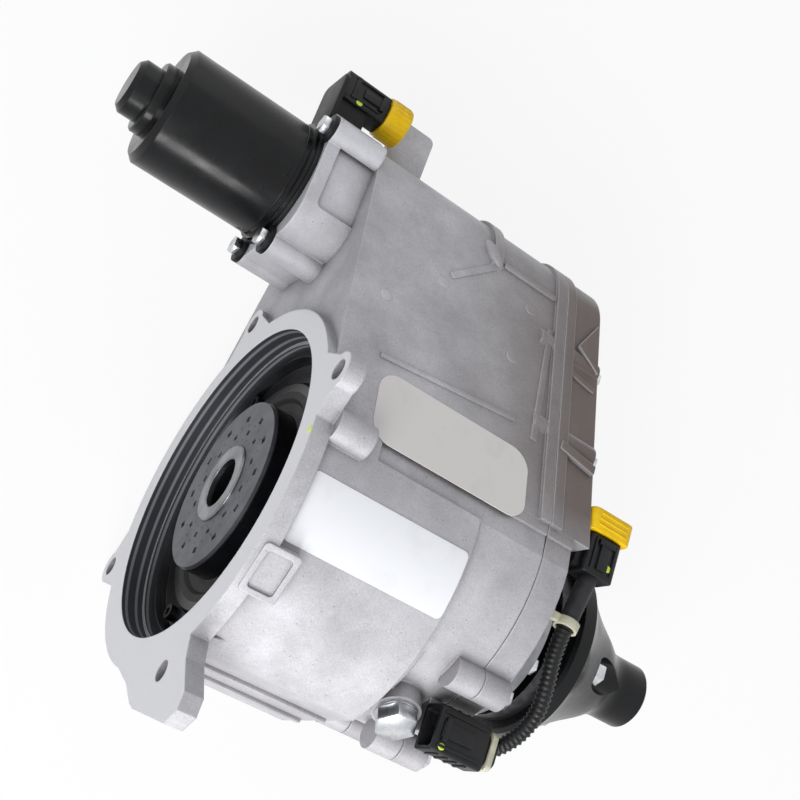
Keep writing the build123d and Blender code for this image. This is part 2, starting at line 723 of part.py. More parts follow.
# Front ring in the bell mouth, stepped toward the drum
with BuildPart() as front_ring:
    turned([
        (RING_FRONT, RING_SEAT_R),
        (RING_FRONT, RING_SEAT_R - 6),
        (RING_FLOOR, RING_SEAT_R - 8),
        (RING_FLOOR, RING_SCREW_PITCH_R - 6),
        (SEAL_START, RING_SCREW_PITCH_R - 8),
        (SEAL_START, RING_BORE_R),
        (INPUT_BEARING_START + INPUT_BEARING_W, RING_BORE_R),
        (INPUT_BEARING_START + INPUT_BEARING_W, RING_LIP_R),
        (RING_SEAT_END, RING_LIP_R),
        (RING_SEAT_END, CLUTCH_ROOM_R),
        (RING_SEAT_END, RING_SEAT_R),
    ])
    for place in ring_screw_places:
        hole(RING_FLOOR, RING_FLOOR + RING_SCREW_LENGTH, CAP_SCREW_R, at=place)
save(front_ring, "front_ring")

# Cap screws of one size: round the front ring, and from the pod's pocket into the arm
with BuildPart() as cap_screws:
    for place in ring_screw_places:
        cap_screw(RING_FLOOR, RING_SCREW_LENGTH, place)
    for place in pod_screw_places:
        cap_screw(POD_POCKET_END, POD_SCREW_LENGTH, place)
save(cap_screws, "cap_screws")

with BuildPart() as input_seal:
    turned([
        (SEAL_START, RING_BORE_R),
        (SEAL_START, RING_BORE_R - 4),
        (SEAL_START + 2, RING_BORE_R - 6),
        (SEAL_START + 2, DRUM_R + 2),
        (SEAL_START + 1, DRUM_R + RUN),
        (SEAL_START + 4, DRUM_R + RUN),
        (SEAL_START + SEAL_W, RING_BORE_R - 5),
        (SEAL_START + SEAL_W, RING_BORE_R),
    ])
save(input_seal, "input_seal")

with BuildPart() as input_bearing:
    ball_bearing(INPUT_BEARING_START, INPUT_BEARING_W, DRUM_R + RUN, RING_BORE_R, BEARING_BALLS)
save(input_bearing, "input_bearing")

# Input drum: a hollow journal with the clutch basket behind it
with BuildPart() as input_drum:
    turned([
        (DRUM_FRONT, DRUM_BORE_R),
        (DRUM_FRONT, HUB_RING_R),
        (DRUM_POCKET_END, HUB_RING_R),
        (DRUM_POCKET_END, DRUM_POCKET_R),
        (DRUM_FRONT, DRUM_POCKET_R),
        (DRUM_FRONT, DRUM_R),
        (BASKET_FLOOR, DRUM_R),
        (BASKET_FLOOR, BASKET_R),
        (BASKET_END, BASKET_R),
        (BASKET_END, BASKET_BORE_R),
        (BASKET_FLOOR + BASKET_FLOOR_T, BASKET_BORE_R),
        (BASKET_FLOOR + BASKET_FLOOR_T, NOSE_BUSH_R),
        (NOSE_START, NOSE_BUSH_R),
        (NOSE_START, NOSE_R - 3),
        (DRUM_FRONT + DRUM_BORE_DEPTH, NOSE_R - 3),
        (DRUM_FRONT + DRUM_BORE_DEPTH, DRUM_BORE_R),
    ])
    with BuildSketch(across(BASKET_FLOOR + BASKET_FLOOR_T)):
        with PolarLocations((BASKET_R + BASKET_BORE_R) / 2, SPLINE_COUNT):
            Rectangle(BASKET_R - BASKET_BORE_R + 4, SPLINE_SLOT_W)
    extrude(amount=BASKET_END - BASKET_FLOOR - BASKET_FLOOR_T, mode=Mode.SUBTRACT)
save(input_drum, "input_drum")

with BuildPart() as front_disc:
    ring(DRUM_FRONT - FRONT_DISC_T, DRUM_FRONT, DRUM_R - 0.5, HUB_RING_R)
    with BuildSketch(across(DRUM_FRONT - FRONT_DISC_T)):
        with PolarLocations(FRONT_DISC_OUTER_R, FRONT_DISC_HOLES):
            Rectangle(2 * FRONT_DISC_HOLE_R, 2.4 * FRONT_DISC_HOLE_R)
        with PolarLocations(FRONT_DISC_INNER_R, FRONT_DISC_HOLES, start_angle=180 / FRONT_DISC_HOLES):
            Rectangle(1.6 * FRONT_DISC_HOLE_R, 2 * FRONT_DISC_HOLE_R)
    extrude(amount=FRONT_DISC_T, mode=Mode.SUBTRACT)
save(front_disc, "front_disc")

with BuildPart() as hub_ring:
    ring(DRUM_FRONT - HUB_RING_PROUD, DRUM_FRONT, HUB_RING_R, DRUM_BORE_R)
    chamfer(hub_ring.edges().filter_by(GeomType.CIRCLE).group_by(Axis.X)[0], 0.8)
save(hub_ring, "hub_ring")

with BuildPart() as nose_bush:
    ring(NOSE_START, BASKET_FLOOR + BASKET_FLOOR_T, NOSE_BUSH_R, NOSE_R + RUN)
save(nose_bush, "nose_bush")

# Clutch plates: steel ones keyed to the basket, lined ones to the hub
with BuildPart() as steel_plates:
    for pair in range(PLATE_PAIRS):
        with BuildSketch(across(plates_start + pair * 2 * (PLATE_T + PLATE_GAP))) as plate:
            Circle(BASKET_BORE_R - SPLINE_SIDE_GAP)
            with PolarLocations(BASKET_BORE_R, SPLINE_COUNT):
                Rectangle(8, SPLINE_SLOT_W - 2 * SPLINE_SIDE_GAP)
            Circle(STEEL_BORE_R, mode=Mode.SUBTRACT)
        extrude(plate.sketch, amount=PLATE_T)
save(steel_plates, "steel_plates")

with BuildPart() as friction_plates:
    for pair in range(PLATE_PAIRS):
        plate_x = plates_start + (pair * 2 + 1) * (PLATE_T + PLATE_GAP)
        with BuildSketch(across(plate_x)) as plate:
            Circle(FRICTION_R)
            Circle(HUB_R + SPLINE_SIDE_GAP, mode=Mode.SUBTRACT)
            with PolarLocations(HUB_R - 1, SPLINE_COUNT):
                Rectangle(5, SPLINE_SLOT_W - 2 * SPLINE_SIDE_GAP)
        extrude(plate.sketch, amount=PLATE_T)
save(friction_plates, "friction_plates")

with BuildPart() as pressure_plate:
    with BuildSketch(across(pressure_start)):
        Circle(BASKET_BORE_R - SPLINE_SIDE_GAP)
        with PolarLocations(BASKET_BORE_R, SPLINE_COUNT):
            Rectangle(8, SPLINE_SLOT_W - 2 * SPLINE_SIDE_GAP)
        Circle(THRUST_BORE_R - 2, mode=Mode.SUBTRACT)
    extrude(amount=PRESSURE_PLATE_T)
save(pressure_plate, "pressure_plate")

with BuildPart() as clutch_hub:
    ring(HUB_START, HUB_START + HUB_WEB_T, HUB_R, SHAFT_R)
    ring(HUB_START, plates_end, HUB_R, HUB_SLOT_R - 4)
    with BuildSketch(across(HUB_START)):
        with PolarLocations(HUB_R, SPLINE_COUNT):
            Rectangle(2 * (HUB_R - HUB_SLOT_R), SPLINE_SLOT_W)
    extrude(amount=plates_end - HUB_START, mode=Mode.SUBTRACT)
save(clutch_hub, "clutch_hub")

# Disc spring between the hub's web and the pressure plate, pushing the plate back
with BuildPart() as return_spring:
    turned([
        (HUB_START + HUB_WEB_T, SHAFT_R + 3),
        (HUB_START + HUB_WEB_T, SHAFT_R + 5),
        (pressure_start - 1.4, HUB_SLOT_R - 5),
        (pressure_start - 0.2, HUB_SLOT_R - 5),
    ])
save(return_spring, "return_spring")


def thrust_bearing(start):
    """Two thin washers with needles between them."""
    washer = THRUST_T / 4
    ring(start, start + washer, THRUST_R, THRUST_BORE_R)
    ring(start + THRUST_T - washer, start + THRUST_T, THRUST_R, THRUST_BORE_R)
    with BuildSketch(across(start + THRUST_T / 2)) as cage:
        with PolarLocations((THRUST_R + THRUST_BORE_R) / 2, THRUST_NEEDLES):
            Rectangle(THRUST_R - THRUST_BORE_R - 3, THRUST_T / 2)
    extrude(cage.sketch, amount=THRUST_T / 4, both=True)


with BuildPart() as front_thrust_bearing:
    thrust_bearing(thrust_start)
save(front_thrust_bearing, "front_thrust_bearing")

with BuildPart() as rear_thrust_bearing:
    thrust_bearing(rear_thrust_start)
save(rear_thrust_bearing, "rear_thrust_bearing")

ball_turn = CAM_TRAVEL_DEG / 2
ramp_slope = CLUTCH_STROKE / (2 * RAMP_BALL_PITCH_R * sin(radians(ball_turn / 2)))
ramp_tilt = degrees(atan(ramp_slope))


def arc_groove(middle_x, middle_deg, tilt_deg, half_deg):
    """A ball track: a round groove about an axis tilted off X, centred on middle_deg."""
    radial = Vector(0, cos(radians(middle_deg)), sin(radians(middle_deg)))
    tangent = Vector(0, -sin(radians(middle_deg)), cos(radians(middle_deg)))
    axis_dir = Vector(1, 0, 0) * cos(radians(tilt_deg)) + tangent * sin(radians(tilt_deg))
    along = tangent * cos(radians(tilt_deg)) - Vector(1, 0, 0) * sin(radians(tilt_deg))
    start_dir = radial * cos(radians(half_deg)) - along * sin(radians(half_deg))
    track_plane = Plane(origin=(middle_x, 0, 0), x_dir=start_dir, z_dir=start_dir.cross(axis_dir))
    with BuildSketch(track_plane) as section:
        with Locations((RAMP_BALL_PITCH_R, 0)):
            Circle(RAMP_GROOVE_R)
    turn_axis = Axis((middle_x, 0, 0), tuple(axis_dir))
    revolve(section.sketch, axis=turn_axis, revolution_arc=2 * half_deg, mode=Mode.SUBTRACT)


ball_degs = [360 / RAMP_BALLS * k + 20 for k in range(RAMP_BALLS)]
track_half = ball_turn / 2 + TRACK_END_DEG

with BuildPart() as ramp_ring:
    ring(ramp_start, ramp_end, RAMP_RING_R)
    for place in guide_pin_places:
        ring(ramp_start, ramp_end, RAMP_LUG_R, at=place)
        hole(ramp_start, ramp_end, GUIDE_PIN_R + RUN, at=place)
    hole(ramp_start, ramp_end, RAMP_BORE_R)
    for deg in ball_degs:
        arc_groove(ball_x, deg - ball_turn / 2, 0, track_half)
save(ramp_ring, "ramp_ring")

with BuildPart() as ramp_balls:
    with Locations(across(ball_x)):
        with PolarLocations(RAMP_BALL_PITCH_R, RAMP_BALLS, start_angle=ball_degs[0]):
            Sphere(RAMP_BALL_R)
save(ramp_balls, "ramp_balls")

with BuildPart() as ball_cage:
    ring(ball_x - CAGE_T / 2, ball_x + CAGE_T / 2, RAMP_BALL_PITCH_R + 6.5, RAMP_BALL_PITCH_R - 6.5)
    with BuildSketch(across(ball_x - CAGE_T / 2)):
        with PolarLocations(RAMP_BALL_PITCH_R, RAMP_BALLS, start_angle=ball_degs[0]):
            Circle(RAMP_BALL_R + RUN)
    extrude(amount=CAGE_T, mode=Mode.SUBTRACT)
save(ball_cage, "ball_cage")

# Cam ring with a gear sector on the arm's side
with BuildPart() as cam_ring:
    tooth_pitch = 360 / SECTOR_TEETH
    low_deg = (SECTOR_FIRST_TOOTH - 0.5) * tooth_pitch
    high_deg = (SECTOR_LAST_TOOTH + 0.5) * tooth_pitch
    far = 2 * SECTOR_R
    with BuildSketch(across(cam_start)):
        with BuildLine():
            Polyline(*gear_outline(COARSE_MODULE, SECTOR_TEETH, 0), close=True)
        make_face()
        with BuildLine() as wedge:
            wedge_points = [polar(far, deg) for deg in (low_deg, (low_deg + high_deg) / 2, high_deg)]
            Polyline((0, 0), *wedge_points, close=True)
        make_face(wedge.edges(), mode=Mode.INTERSECT)
        Circle(RAMP_RING_R)
        Circle(RAMP_BORE_R, mode=Mode.SUBTRACT)
    extrude(amount=CAM_RING_T)
    for deg in ball_degs:
        arc_groove(ball_x - CLUTCH_STROKE / 2, deg + ball_turn / 2, ramp_tilt, track_half)
save(cam_ring, "cam_ring")

# Reduction gears between motor and sector
idler_start = cam_start - 1
idler_w = CAM_RING_T + 2

with BuildPart() as idler_gear:
    gear(idler_start, idler_w, COARSE_MODULE, IDLER_TEETH, 180 + 180 / IDLER_TEETH, IDLER_Y)
    hole(idler_start, idler_start + idler_w, IDLER_PIN_R + RUN, at=idler_axis)
save(idler_gear, "idler_gear")

with BuildPart() as idler_pin:
    ring(idler_start - IDLER_PIN_HEAD_H - GAP, idler_start - GAP, IDLER_PIN_R + 3, at=idler_axis)
    ring(idler_start - GAP, cover_room_end, IDLER_PIN_R, at=idler_axis)
save(idler_pin, "idler_pin")

with BuildPart() as step_gear:
    gear(STEP_GEAR_START, STEP_GEAR_W, FINE_MODULE, STEP_LARGE_TEETH, 0, STEP_Y)
    with BuildSketch(across(STEP_GEAR_START, STEP_Y)):
        with PolarLocations(STEP_HOLE_PITCH_R, STEP_HOLES):
            Circle(STEP_HOLE_R)
    extrude(amount=STEP_GEAR_W, mode=Mode.SUBTRACT)
    hole(STEP_GEAR_START, STEP_GEAR_START + STEP_GEAR_W, STEP_SHAFT_R, at=step_axis)
save(step_gear, "step_gear")

with BuildPart() as step_shaft:
    ring(STEP_FRONT + GAP, step_shaft_end, STEP_SHAFT_R, at=step_axis)
    gear(idler_start - 1, idler_w + 2, COARSE_MODULE, STEP_SMALL_TEETH, 180, STEP_Y)
save(step_shaft, "step_shaft")

# Motor pod, plate, can and what turns inside
with BuildPart() as motor_pod:
    with BuildSketch(across(MOTOR_FACE + MOTOR_PLATE_T)):
        with Locations((MOTOR_Y, 0)):
            RectangleRounded(2 * POD_HALF_Y, 2 * POD_HALF_Z, POD_CORNER_R)
        with Locations(*motor_bolt_places):
            Circle(POD_EAR_R)
    extrude(amount=ARM_FRONT - MOTOR_FACE - MOTOR_PLATE_T)
    hole(MOTOR_FACE + MOTOR_PLATE_T, POD_POCKET_END, POD_POCKET_R, at=motor_axis)
    hole(POD_POCKET_END, ARM_FRONT, POD_BORE_R, at=motor_axis)
    for place in motor_bolt_places:
        hole(MOTOR_FACE + MOTOR_PLATE_T, MOTOR_FACE + MOTOR_BOLT_LENGTH, MOTOR_BOLT_R, at=place)
    for place in pod_screw_places:
        hole(POD_POCKET_END, ARM_FRONT, CAP_SCREW_R, at=place)
    with BuildSketch(Plane.XY.offset(POD_HALF_Z)):
        with Locations((POD_RECESS_X, MOTOR_Y + POD_RECESS_Y)):
            RectangleRounded(POD_RECESS_LENGTH, POD_RECESS_W, 3)
    extrude(amount=-POD_RECESS_DEPTH, mode=Mode.SUBTRACT)
save(motor_pod, "motor_pod")

with BuildPart() as motor_plate:
    with BuildSketch(across(MOTOR_FACE)):
        with Locations((MOTOR_Y, 0)):
            Circle(MOTOR_R + 3)
        with Locations(*motor_bolt_places):
            Circle(POD_EAR_R)
        with Locations((UPPER_PLUG_Y - PLATE_WING_LENGTH / 2 + PLATE_WING_PROUD, UPPER_PLUG_Z)):
            RectangleRounded(PLATE_WING_LENGTH, PLATE_WING_W, 5)
        with Locations((MOTOR_Y, 0)):
            Circle(BUSH_R, mode=Mode.SUBTRACT)
        with Locations(*motor_bolt_places):
            Circle(MOTOR_BOLT_R, mode=Mode.SUBTRACT)
    extrude(amount=MOTOR_PLATE_T)
    # Pad that fills the space between the pod and the upper connector
    pad_start = MOTOR_Y + POD_HALF_Y + GAP
    pad_width = UPPER_PLUG_Y - UPPER_BODY_W / 2 - GAP - pad_start
    with BuildSketch(across(MOTOR_FACE + MOTOR_PLATE_T)) as pad:
        with Locations((pad_start, UPPER_PLUG_Z)):
            Rectangle(pad_width, PLATE_PAD_H, align=(Align.MIN, Align.CENTER))
    extrude(pad.sketch, amount=PLATE_PAD_T)
save(motor_plate, "motor_plate")

with BuildPart() as motor_can:
    turned([
        (MOTOR_FACE, MOTOR_R - MOTOR_WALL),
        (MOTOR_FACE, MOTOR_R + 2.2),
        (MOTOR_FACE - 2.5, MOTOR_R + 2.2),
        (MOTOR_FACE - 2.5, MOTOR_R),
        (MOTOR_END + 3.5, MOTOR_R),
        (MOTOR_END, MOTOR_R - 3.5),
        (MOTOR_END, MOTOR_STEP_R),
        (MOTOR_STEP_END + 1, MOTOR_STEP_R),
        (MOTOR_STEP_END, MOTOR_STEP_R - 1),
        (MOTOR_STEP_END, MOTOR_BOSS_R),
        (MOTOR_BOSS_END + 3, MOTOR_BOSS_R),
        (MOTOR_BOSS_END, MOTOR_BOSS_R - 3),
        (MOTOR_BOSS_END, 0),
        (MOTOR_BOSS_END + 3, 0),
        (MOTOR_BOSS_END + 3, BUSH_R),
        (MOTOR_END + MOTOR_WALL, BUSH_R),
        (MOTOR_END + MOTOR_WALL, MOTOR_R - MOTOR_WALL),
    ], y=MOTOR_Y)
save(motor_can, "motor_can")

with BuildPart() as motor_bolts:
    for place in motor_bolt_places:
        seat = Plane(origin=(MOTOR_FACE, *place), x_dir=(0, 1, 0), z_dir=(-1, 0, 0))
        hex_bolt(seat, MOTOR_BOLT_R, MOTOR_BOLT_LENGTH, MOTOR_BOLT_AF, MOTOR_BOLT_HEAD_H)
save(motor_bolts, "motor_bolts")

with BuildPart() as motor_bushes:
    ring(MOTOR_BOSS_END + 3, MOTOR_END + MOTOR_WALL, BUSH_R, MOTOR_SHAFT_R + RUN, at=motor_axis)
    ring(MOTOR_FACE, MOTOR_FACE + MOTOR_PLATE_T, BUSH_R, MOTOR_SHAFT_R + RUN, at=motor_axis)
save(motor_bushes, "motor_bushes")

magnet_outer = MOTOR_R - MOTOR_WALL
with BuildPart() as motor_magnets:
    with BuildSketch(across(ROTOR_START - 2, MOTOR_Y)):
        Circle(magnet_outer)
        Circle(magnet_outer - MAGNET_T, mode=Mode.SUBTRACT)
        Rectangle(3 * MOTOR_R, MOTOR_R * 0.6, mode=Mode.SUBTRACT)
    extrude(amount=ROTOR_END - ROTOR_START + 4)
save(motor_magnets, "motor_magnets")

with BuildPart() as rotor_core:
    with BuildSketch(across(ROTOR_START, MOTOR_Y)):
        Circle(ROTOR_R)
        Circle(MOTOR_SHAFT_R, mode=Mode.SUBTRACT)
        with PolarLocations(ROTOR_R - 3, ROTOR_SLOTS):
            Rectangle(8, 3, mode=Mode.SUBTRACT)
    extrude(amount=ROTOR_END - ROTOR_START)
save(rotor_core, "rotor_core")

# The motor's shaft has its pinion cut on it
with BuildPart() as rotor_shaft:
    ring(MOTOR_BOSS_END + 3 + GAP, PINION_START + PINION_W, MOTOR_SHAFT_R, at=motor_axis)
    gear(PINION_START, PINION_W, FINE_MODULE, MOTOR_TEETH, 180 + 180 / MOTOR_TEETH, MOTOR_Y)
save(rotor_shaft, "rotor_shaft")

with BuildPart() as commutator:
    commutator_start = ROTOR_END + 3
    ring(commutator_start, commutator_start + COMMUTATOR_LENGTH, COMMUTATOR_R, MOTOR_SHAFT_R, at=motor_axis)
    with BuildSketch(across(commutator_start, MOTOR_Y)):
        with PolarLocations(COMMUTATOR_R, ROTOR_SLOTS):
            Rectangle(2, 0.8)
    extrude(amount=COMMUTATOR_LENGTH, mode=Mode.SUBTRACT)
save(commutator, "commutator")

brush_low = COMMUTATOR_R + 0.2
with BuildPart() as brush_holder:
    ring(MOTOR_FACE - BRUSH_CARRIER_T, MOTOR_FACE, magnet_outer, BUSH_R + 4, at=motor_axis)
    with BuildSketch(across(MOTOR_FACE - BRUSH_CARRIER_T, MOTOR_Y)):
        with PolarLocations(BRUSH_TOP_R + 2, 2, start_angle=90):
            Rectangle(4, 9)
    extrude(amount=ROTOR_END + 4 + BRUSH_CARRIER_T - MOTOR_FACE)
save(brush_holder, "brush_holder")

with BuildPart() as motor_brushes:
    with BuildSketch(across(ROTOR_END + 5, MOTOR_Y)):
        with PolarLocations((brush_low + BRUSH_TOP_R) / 2, 2, start_angle=90):
            Rectangle(BRUSH_TOP_R - brush_low, 6)
    extrude(amount=6)
save(motor_brushes, "motor_brushes")

# Output shaft, its bearing, retainer and seal
flange_start = SHAFT_FLANGE_START + SHAFT_FLANGE_T
flange_end = flange_start + FLANGE_LENGTH
pocket_floor = flange_start + FLANGE_POCKET_FLOOR


flange_bolt_degs = [FLANGE_BOLT_FIRST_DEG + 360 / FLANGE_BOLTS * k for k in range(FLANGE_BOLTS)]
flange_bolt_places = [polar(FLANGE_BOLT_PITCH_R, deg) for deg in flange_bolt_degs]

with BuildPart() as output_shaft:
    ring(NOSE_START + GAP, HUB_START, NOSE_R)
    ring(HUB_START, SHAFT_FLANGE_START, SHAFT_R)
    ring(SHAFT_FLANGE_START, flange_start, SHAFT_FLANGE_R)
    ring(flange_start, flange_start + PILOT_LENGTH, PILOT_R)
    for place in flange_bolt_places:
        hole(SHAFT_FLANGE_START, flange_start, FLANGE_BOLT_R, at=place)
    chamfer(output_shaft.edges().filter_by(GeomType.CIRCLE).group_by(Axis.X)[0], 1.5)
save(output_shaft, "output_shaft")

with BuildPart() as output_bearing:
    ball_bearing(OUTPUT_BEARING_START, OUTPUT_BEARING_W, SHAFT_R + RUN, OUTPUT_BEARING_R, OUTPUT_BEARING_BALLS)
save(output_bearing, "output_bearing")

# The seal's case reaches back to the bearing and holds it in its bore
with BuildPart() as output_seal:
    turned([
        (OUTPUT_BEARING_START + OUTPUT_BEARING_W, OUTPUT_BEARING_R),
        (OUTPUT_BEARING_START + OUTPUT_BEARING_W, OUTPUT_BEARING_R - SEAL_CASE_T),
        (OUTPUT_SEAL_START, OUTPUT_BEARING_R - SEAL_CASE_T),
        (OUTPUT_SEAL_START + 3, OUTPUT_BEARING_R - 7),
        (OUTPUT_SEAL_START + 2, SHAFT_R + RUN),
        (SNOUT_END - 2, SHAFT_R + RUN),
        (SNOUT_END, SHAFT_R + 3),
        (SNOUT_END, OUTPUT_BEARING_R),
    ])
save(output_seal, "output_seal")

with BuildPart() as bearing_retainer:
    ring(SNOUT_END, retainer_seat, SNOUT_R - 1, OUTPUT_BEARING_R - 8)
    for place in retainer_bolt_places:
        hole(SNOUT_END, retainer_seat, COVER_BOLT_R, at=place)
save(bearing_retainer, "bearing_retainer")

# Output flange: a round base that flares down to a tubular tip, with a pocket for each bolt head
with BuildPart() as output_flange:
    flare_start = flange_start + FLANGE_RIM_T
    flare_end = flange_end - FLANGE_TIP_LENGTH
    flare_length = flare_end - flare_start
    flare_points = [(flare_start + along * flare_length, share * FLANGE_R) for along, share in FLANGE_FLARE]
    with BuildSketch(Plane.XY) as flange_half:
        with BuildLine():
            Polyline(
                (flange_start + PILOT_LENGTH, 0),
                (flange_start + PILOT_LENGTH, PILOT_R),
                (flange_start, PILOT_R),
                (flange_start, FLANGE_R - 2),
                (flange_start + 2, FLANGE_R),
                (flare_start, FLANGE_R),
            )
            Spline(
                (flare_start, FLANGE_R),
                *flare_points,
                (flare_end, FLANGE_TIP_R),
                tangents=((1, -1), (1, 0)),
            )
            Polyline(
                (flare_end, FLANGE_TIP_R),
                (flange_end - 1.5, FLANGE_TIP_R),
                (flange_end, FLANGE_TIP_R - 1.5),
                (flange_end, FLANGE_TIP_BORE_R + 1),
                (flange_end - 1, FLANGE_TIP_BORE_R),
                (flange_end - FLANGE_TIP_BORE_DEPTH, FLANGE_TIP_BORE_R),
                (flange_end - FLANGE_TIP_BORE_DEPTH, 0),
                (flange_start + PILOT_LENGTH, 0),
            )
        make_face()
    revolve(flange_half.sketch, axis=Axis.X)
    for place in flange_bolt_places:
        hole(pocket_floor, flange_end, FLANGE_POCKET_R, at=place)
        hole(flange_start, pocket_floor, FLANGE_BOLT_R, at=place)
save(output_flange, "output_flange")

with BuildPart() as flange_bolts:
    bolt_length = pocket_floor - SHAFT_FLANGE_START
    for place in flange_bolt_places:
        seat = across(pocket_floor, *place)
        hex_bolt(seat, FLANGE_BOLT_R, bolt_length, FLANGE_BOLT_HEAD_AF, FLANGE_BOLT_HEAD_H)
save(flange_bolts, "flange_bolts")

# Fill plug with its washer
with BuildPart() as plug_washer:
    with BuildSketch(outward(PLUG_X, PLUG_DEG, PLUG_SEAT_R)):
        Circle(PLUG_BOSS_R - 2)
        Circle(PLUG_THREAD_R, mode=Mode.SUBTRACT)
    extrude(amount=WASHER_T)
save(plug_washer, "plug_washer")

with BuildPart() as fill_plug:
    with BuildSketch(outward(PLUG_X, PLUG_DEG, PLUG_SEAT_R + WASHER_T)):
        RegularPolygon(PLUG_AF / 2, 6, major_radius=False)
    extrude(amount=PLUG_HEAD_H)
    with BuildSketch(outward(PLUG_X, PLUG_DEG, PLUG_SEAT_R + WASHER_T)):
        Circle(PLUG_THREAD_R)
    extrude(amount=-WASHER_T - PLUG_THREAD_LENGTH)
save(fill_plug, "fill_plug")

# Bare labels: a curved one on the barrel, a flat one on the arm's broad face
with BuildPart() as barrel_label:
    label_inner_r = BARREL_R + LABEL_GLUE_T
    label_end = BARREL_LABEL_START + BARREL_LABEL_LENGTH
    ring(BARREL_LABEL_START, label_end, label_inner_r + LABEL_T, label_inner_r)
    label_middle = BARREL_LABEL_START + BARREL_LABEL_LENGTH / 2
    with BuildSketch(outward(label_middle, BARREL_LABEL_DEG, BARREL_R - 10)):
        RectangleRounded(BARREL_LABEL_LENGTH, BARREL_LABEL_W, 3)
    extrude(amount=20, mode=Mode.INTERSECT)
save(barrel_label, "barrel_label")

arm_normal = (0, arm_up[0], arm_up[1])
with BuildPart() as arm_label:
    label_drop = (ARM_LABEL_Y - ARM_ROOT_R * arm_up[0]) / arm_up[1]
    label_origin = (
        ARM_LABEL_START + ARM_LABEL_LENGTH / 2,
        ARM_ROOT_R * arm_up[0] + label_drop * arm_up[1],
        ARM_ROOT_R * arm_up[1] - label_drop * arm_up[0],
    )
    with BuildSketch(Plane(origin=label_origin, x_dir=(1, 0, 0), z_dir=arm_normal)):
        RectangleRounded(ARM_LABEL_LENGTH, ARM_LABEL_W, ARM_LABEL_CORNER_R)
    extrude(amount=LABEL_T)
save(arm_label, "arm_label")

# Upper connector on the motor plate, with its pull-off cap
upper_plug = (UPPER_PLUG_Y, UPPER_PLUG_Z)
with BuildPart() as upper_connector:
    with BuildSketch(across(MOTOR_FACE + MOTOR_PLATE_T, UPPER_PLUG_Y, UPPER_PLUG_Z)):
        RectangleRounded(UPPER_BODY_W, UPPER_BODY_W - 2, 3)
    extrude(amount=UPPER_BODY_END - MOTOR_FACE - MOTOR_PLATE_T)
    spigot_end = UPPER_BODY_END + SPIGOT_LENGTH
    ring(UPPER_BODY_END, spigot_end, SPIGOT_R, at=upper_plug)
    hole(UPPER_BODY_END - SOCKET_SINK, spigot_end, SPIGOT_R - CAP_WALL, at=upper_plug)
save(upper_connector, "upper_connector")

with BuildPart() as upper_cap:
    cap_start = UPPER_BODY_END + GAP
    ring(cap_start, cap_start + CAP_LENGTH, CAP_R, at=upper_plug)
    hole(cap_start, cap_start + CAP_LENGTH - CAP_WALL, SPIGOT_R + RUN, at=upper_plug)
save(upper_cap, "upper_cap")

# Lower connector behind the rear cover: its socket faces +Y
lower_face = Plane(origin=(LOWER_PLUG_X, 0, LOWER_PLUG_Z), x_dir=(1, 0, 0), z_dir=(0, 1, 0))


def lower_block(start, end, wide, thick, corner, mode=Mode.ADD):
    with BuildSketch(lower_face.offset(start)) as face:
        RectangleRounded(wide, thick, corner)
    extrude(face.sketch, amount=end - start, mode=mode)


lower_spigot_w = LOWER_BODY_W - 1
lower_spigot_t = LOWER_BODY_T - 3
lower_spigot_end = LOWER_BODY_TOP + LOWER_CAP_LENGTH - 3
lower_socket_start = LOWER_BODY_TOP - SOCKET_SINK
with BuildPart() as lower_connector:
    lower_block(LOWER_BODY_BOTTOM, LOWER_BODY_TOP, LOWER_BODY_W, LOWER_BODY_T, 3)
    lower_block(LOWER_BODY_TOP, lower_spigot_end, lower_spigot_w, lower_spigot_t, 5)
    lower_block(lower_socket_start, lower_spigot_end, lower_spigot_w - 4, lower_spigot_t - 4, 3, Mode.SUBTRACT)
save(lower_connector, "lower_connector")

with BuildPart() as lower_cap:
    cap_start = LOWER_BODY_TOP + GAP
    cap_end = cap_start + LOWER_CAP_LENGTH
    hollow_w = lower_spigot_w + 2 * CAP_SLIP
    hollow_t = lower_spigot_t + 2 * CAP_SLIP
    lower_block(cap_start, cap_end, LOWER_CAP_W, LOWER_CAP_T, 4)
    lower_block(cap_start, cap_end - CAP_WALL, hollow_w, hollow_t, 5 + CAP_SLIP, Mode.SUBTRACT)
save(lower_cap, "lower_cap")

with BuildPart() as connector_bracket:
    with BuildSketch(across(ARM_REAR)):
        with Locations((BRACKET_Y, BRACKET_Z)):
            RectangleRounded(BRACKET_W, BRACKET_H, 3)
    extrude(amount=LOWER_PLUG_X - LOWER_BODY_W / 2 - ARM_REAR)
save(connector_bracket, "connector_bracket")

# Harness: a smooth sleeve from the connector, then corrugated conduit to the tail connector
clip_point = Vector(LOWER_PLUG_X - 6, -9, LOWER_PLUG_Z)
harness_turns = [
    (182.8, -23, LOWER_PLUG_Z),
    (184.5, -40, 79.5),
    (187, -55, 75.5),
    (186, -67, 68),
    (181, -76, 61.5),
    (174, -81, 58.5),
    (168, -82, 58),
]
sleeve_top = Vector(LOWER_PLUG_X, LOWER_BODY_BOTTOM + 1, LOWER_PLUG_Z)

with BuildPart() as sleeve:
    run = clip_point - sleeve_top
    with BuildSketch(Plane(origin=sleeve_top, z_dir=run)):
        Circle(SLEEVE_R)
    extrude(amount=run.length)
save(sleeve, "sleeve")

first_turn = Vector(*harness_turns[0])
first_run = clip_point + run.normalized() * (first_turn - clip_point).length
conduit_route = [clip_point, first_run] + [Vector(*point) for point in harness_turns[1:]]


def bend_radii(route):
    """Arcs as large as the two runs beside each corner allow."""
    radii = []
    for before, corner, after in zip(route, route[1:], route[2:]):
        turn = (corner - before).get_angle(after - corner)
        radii.append(0.45 * min((corner - before).length, (after - corner).length) / tan(radians(turn / 2)))
    return radii


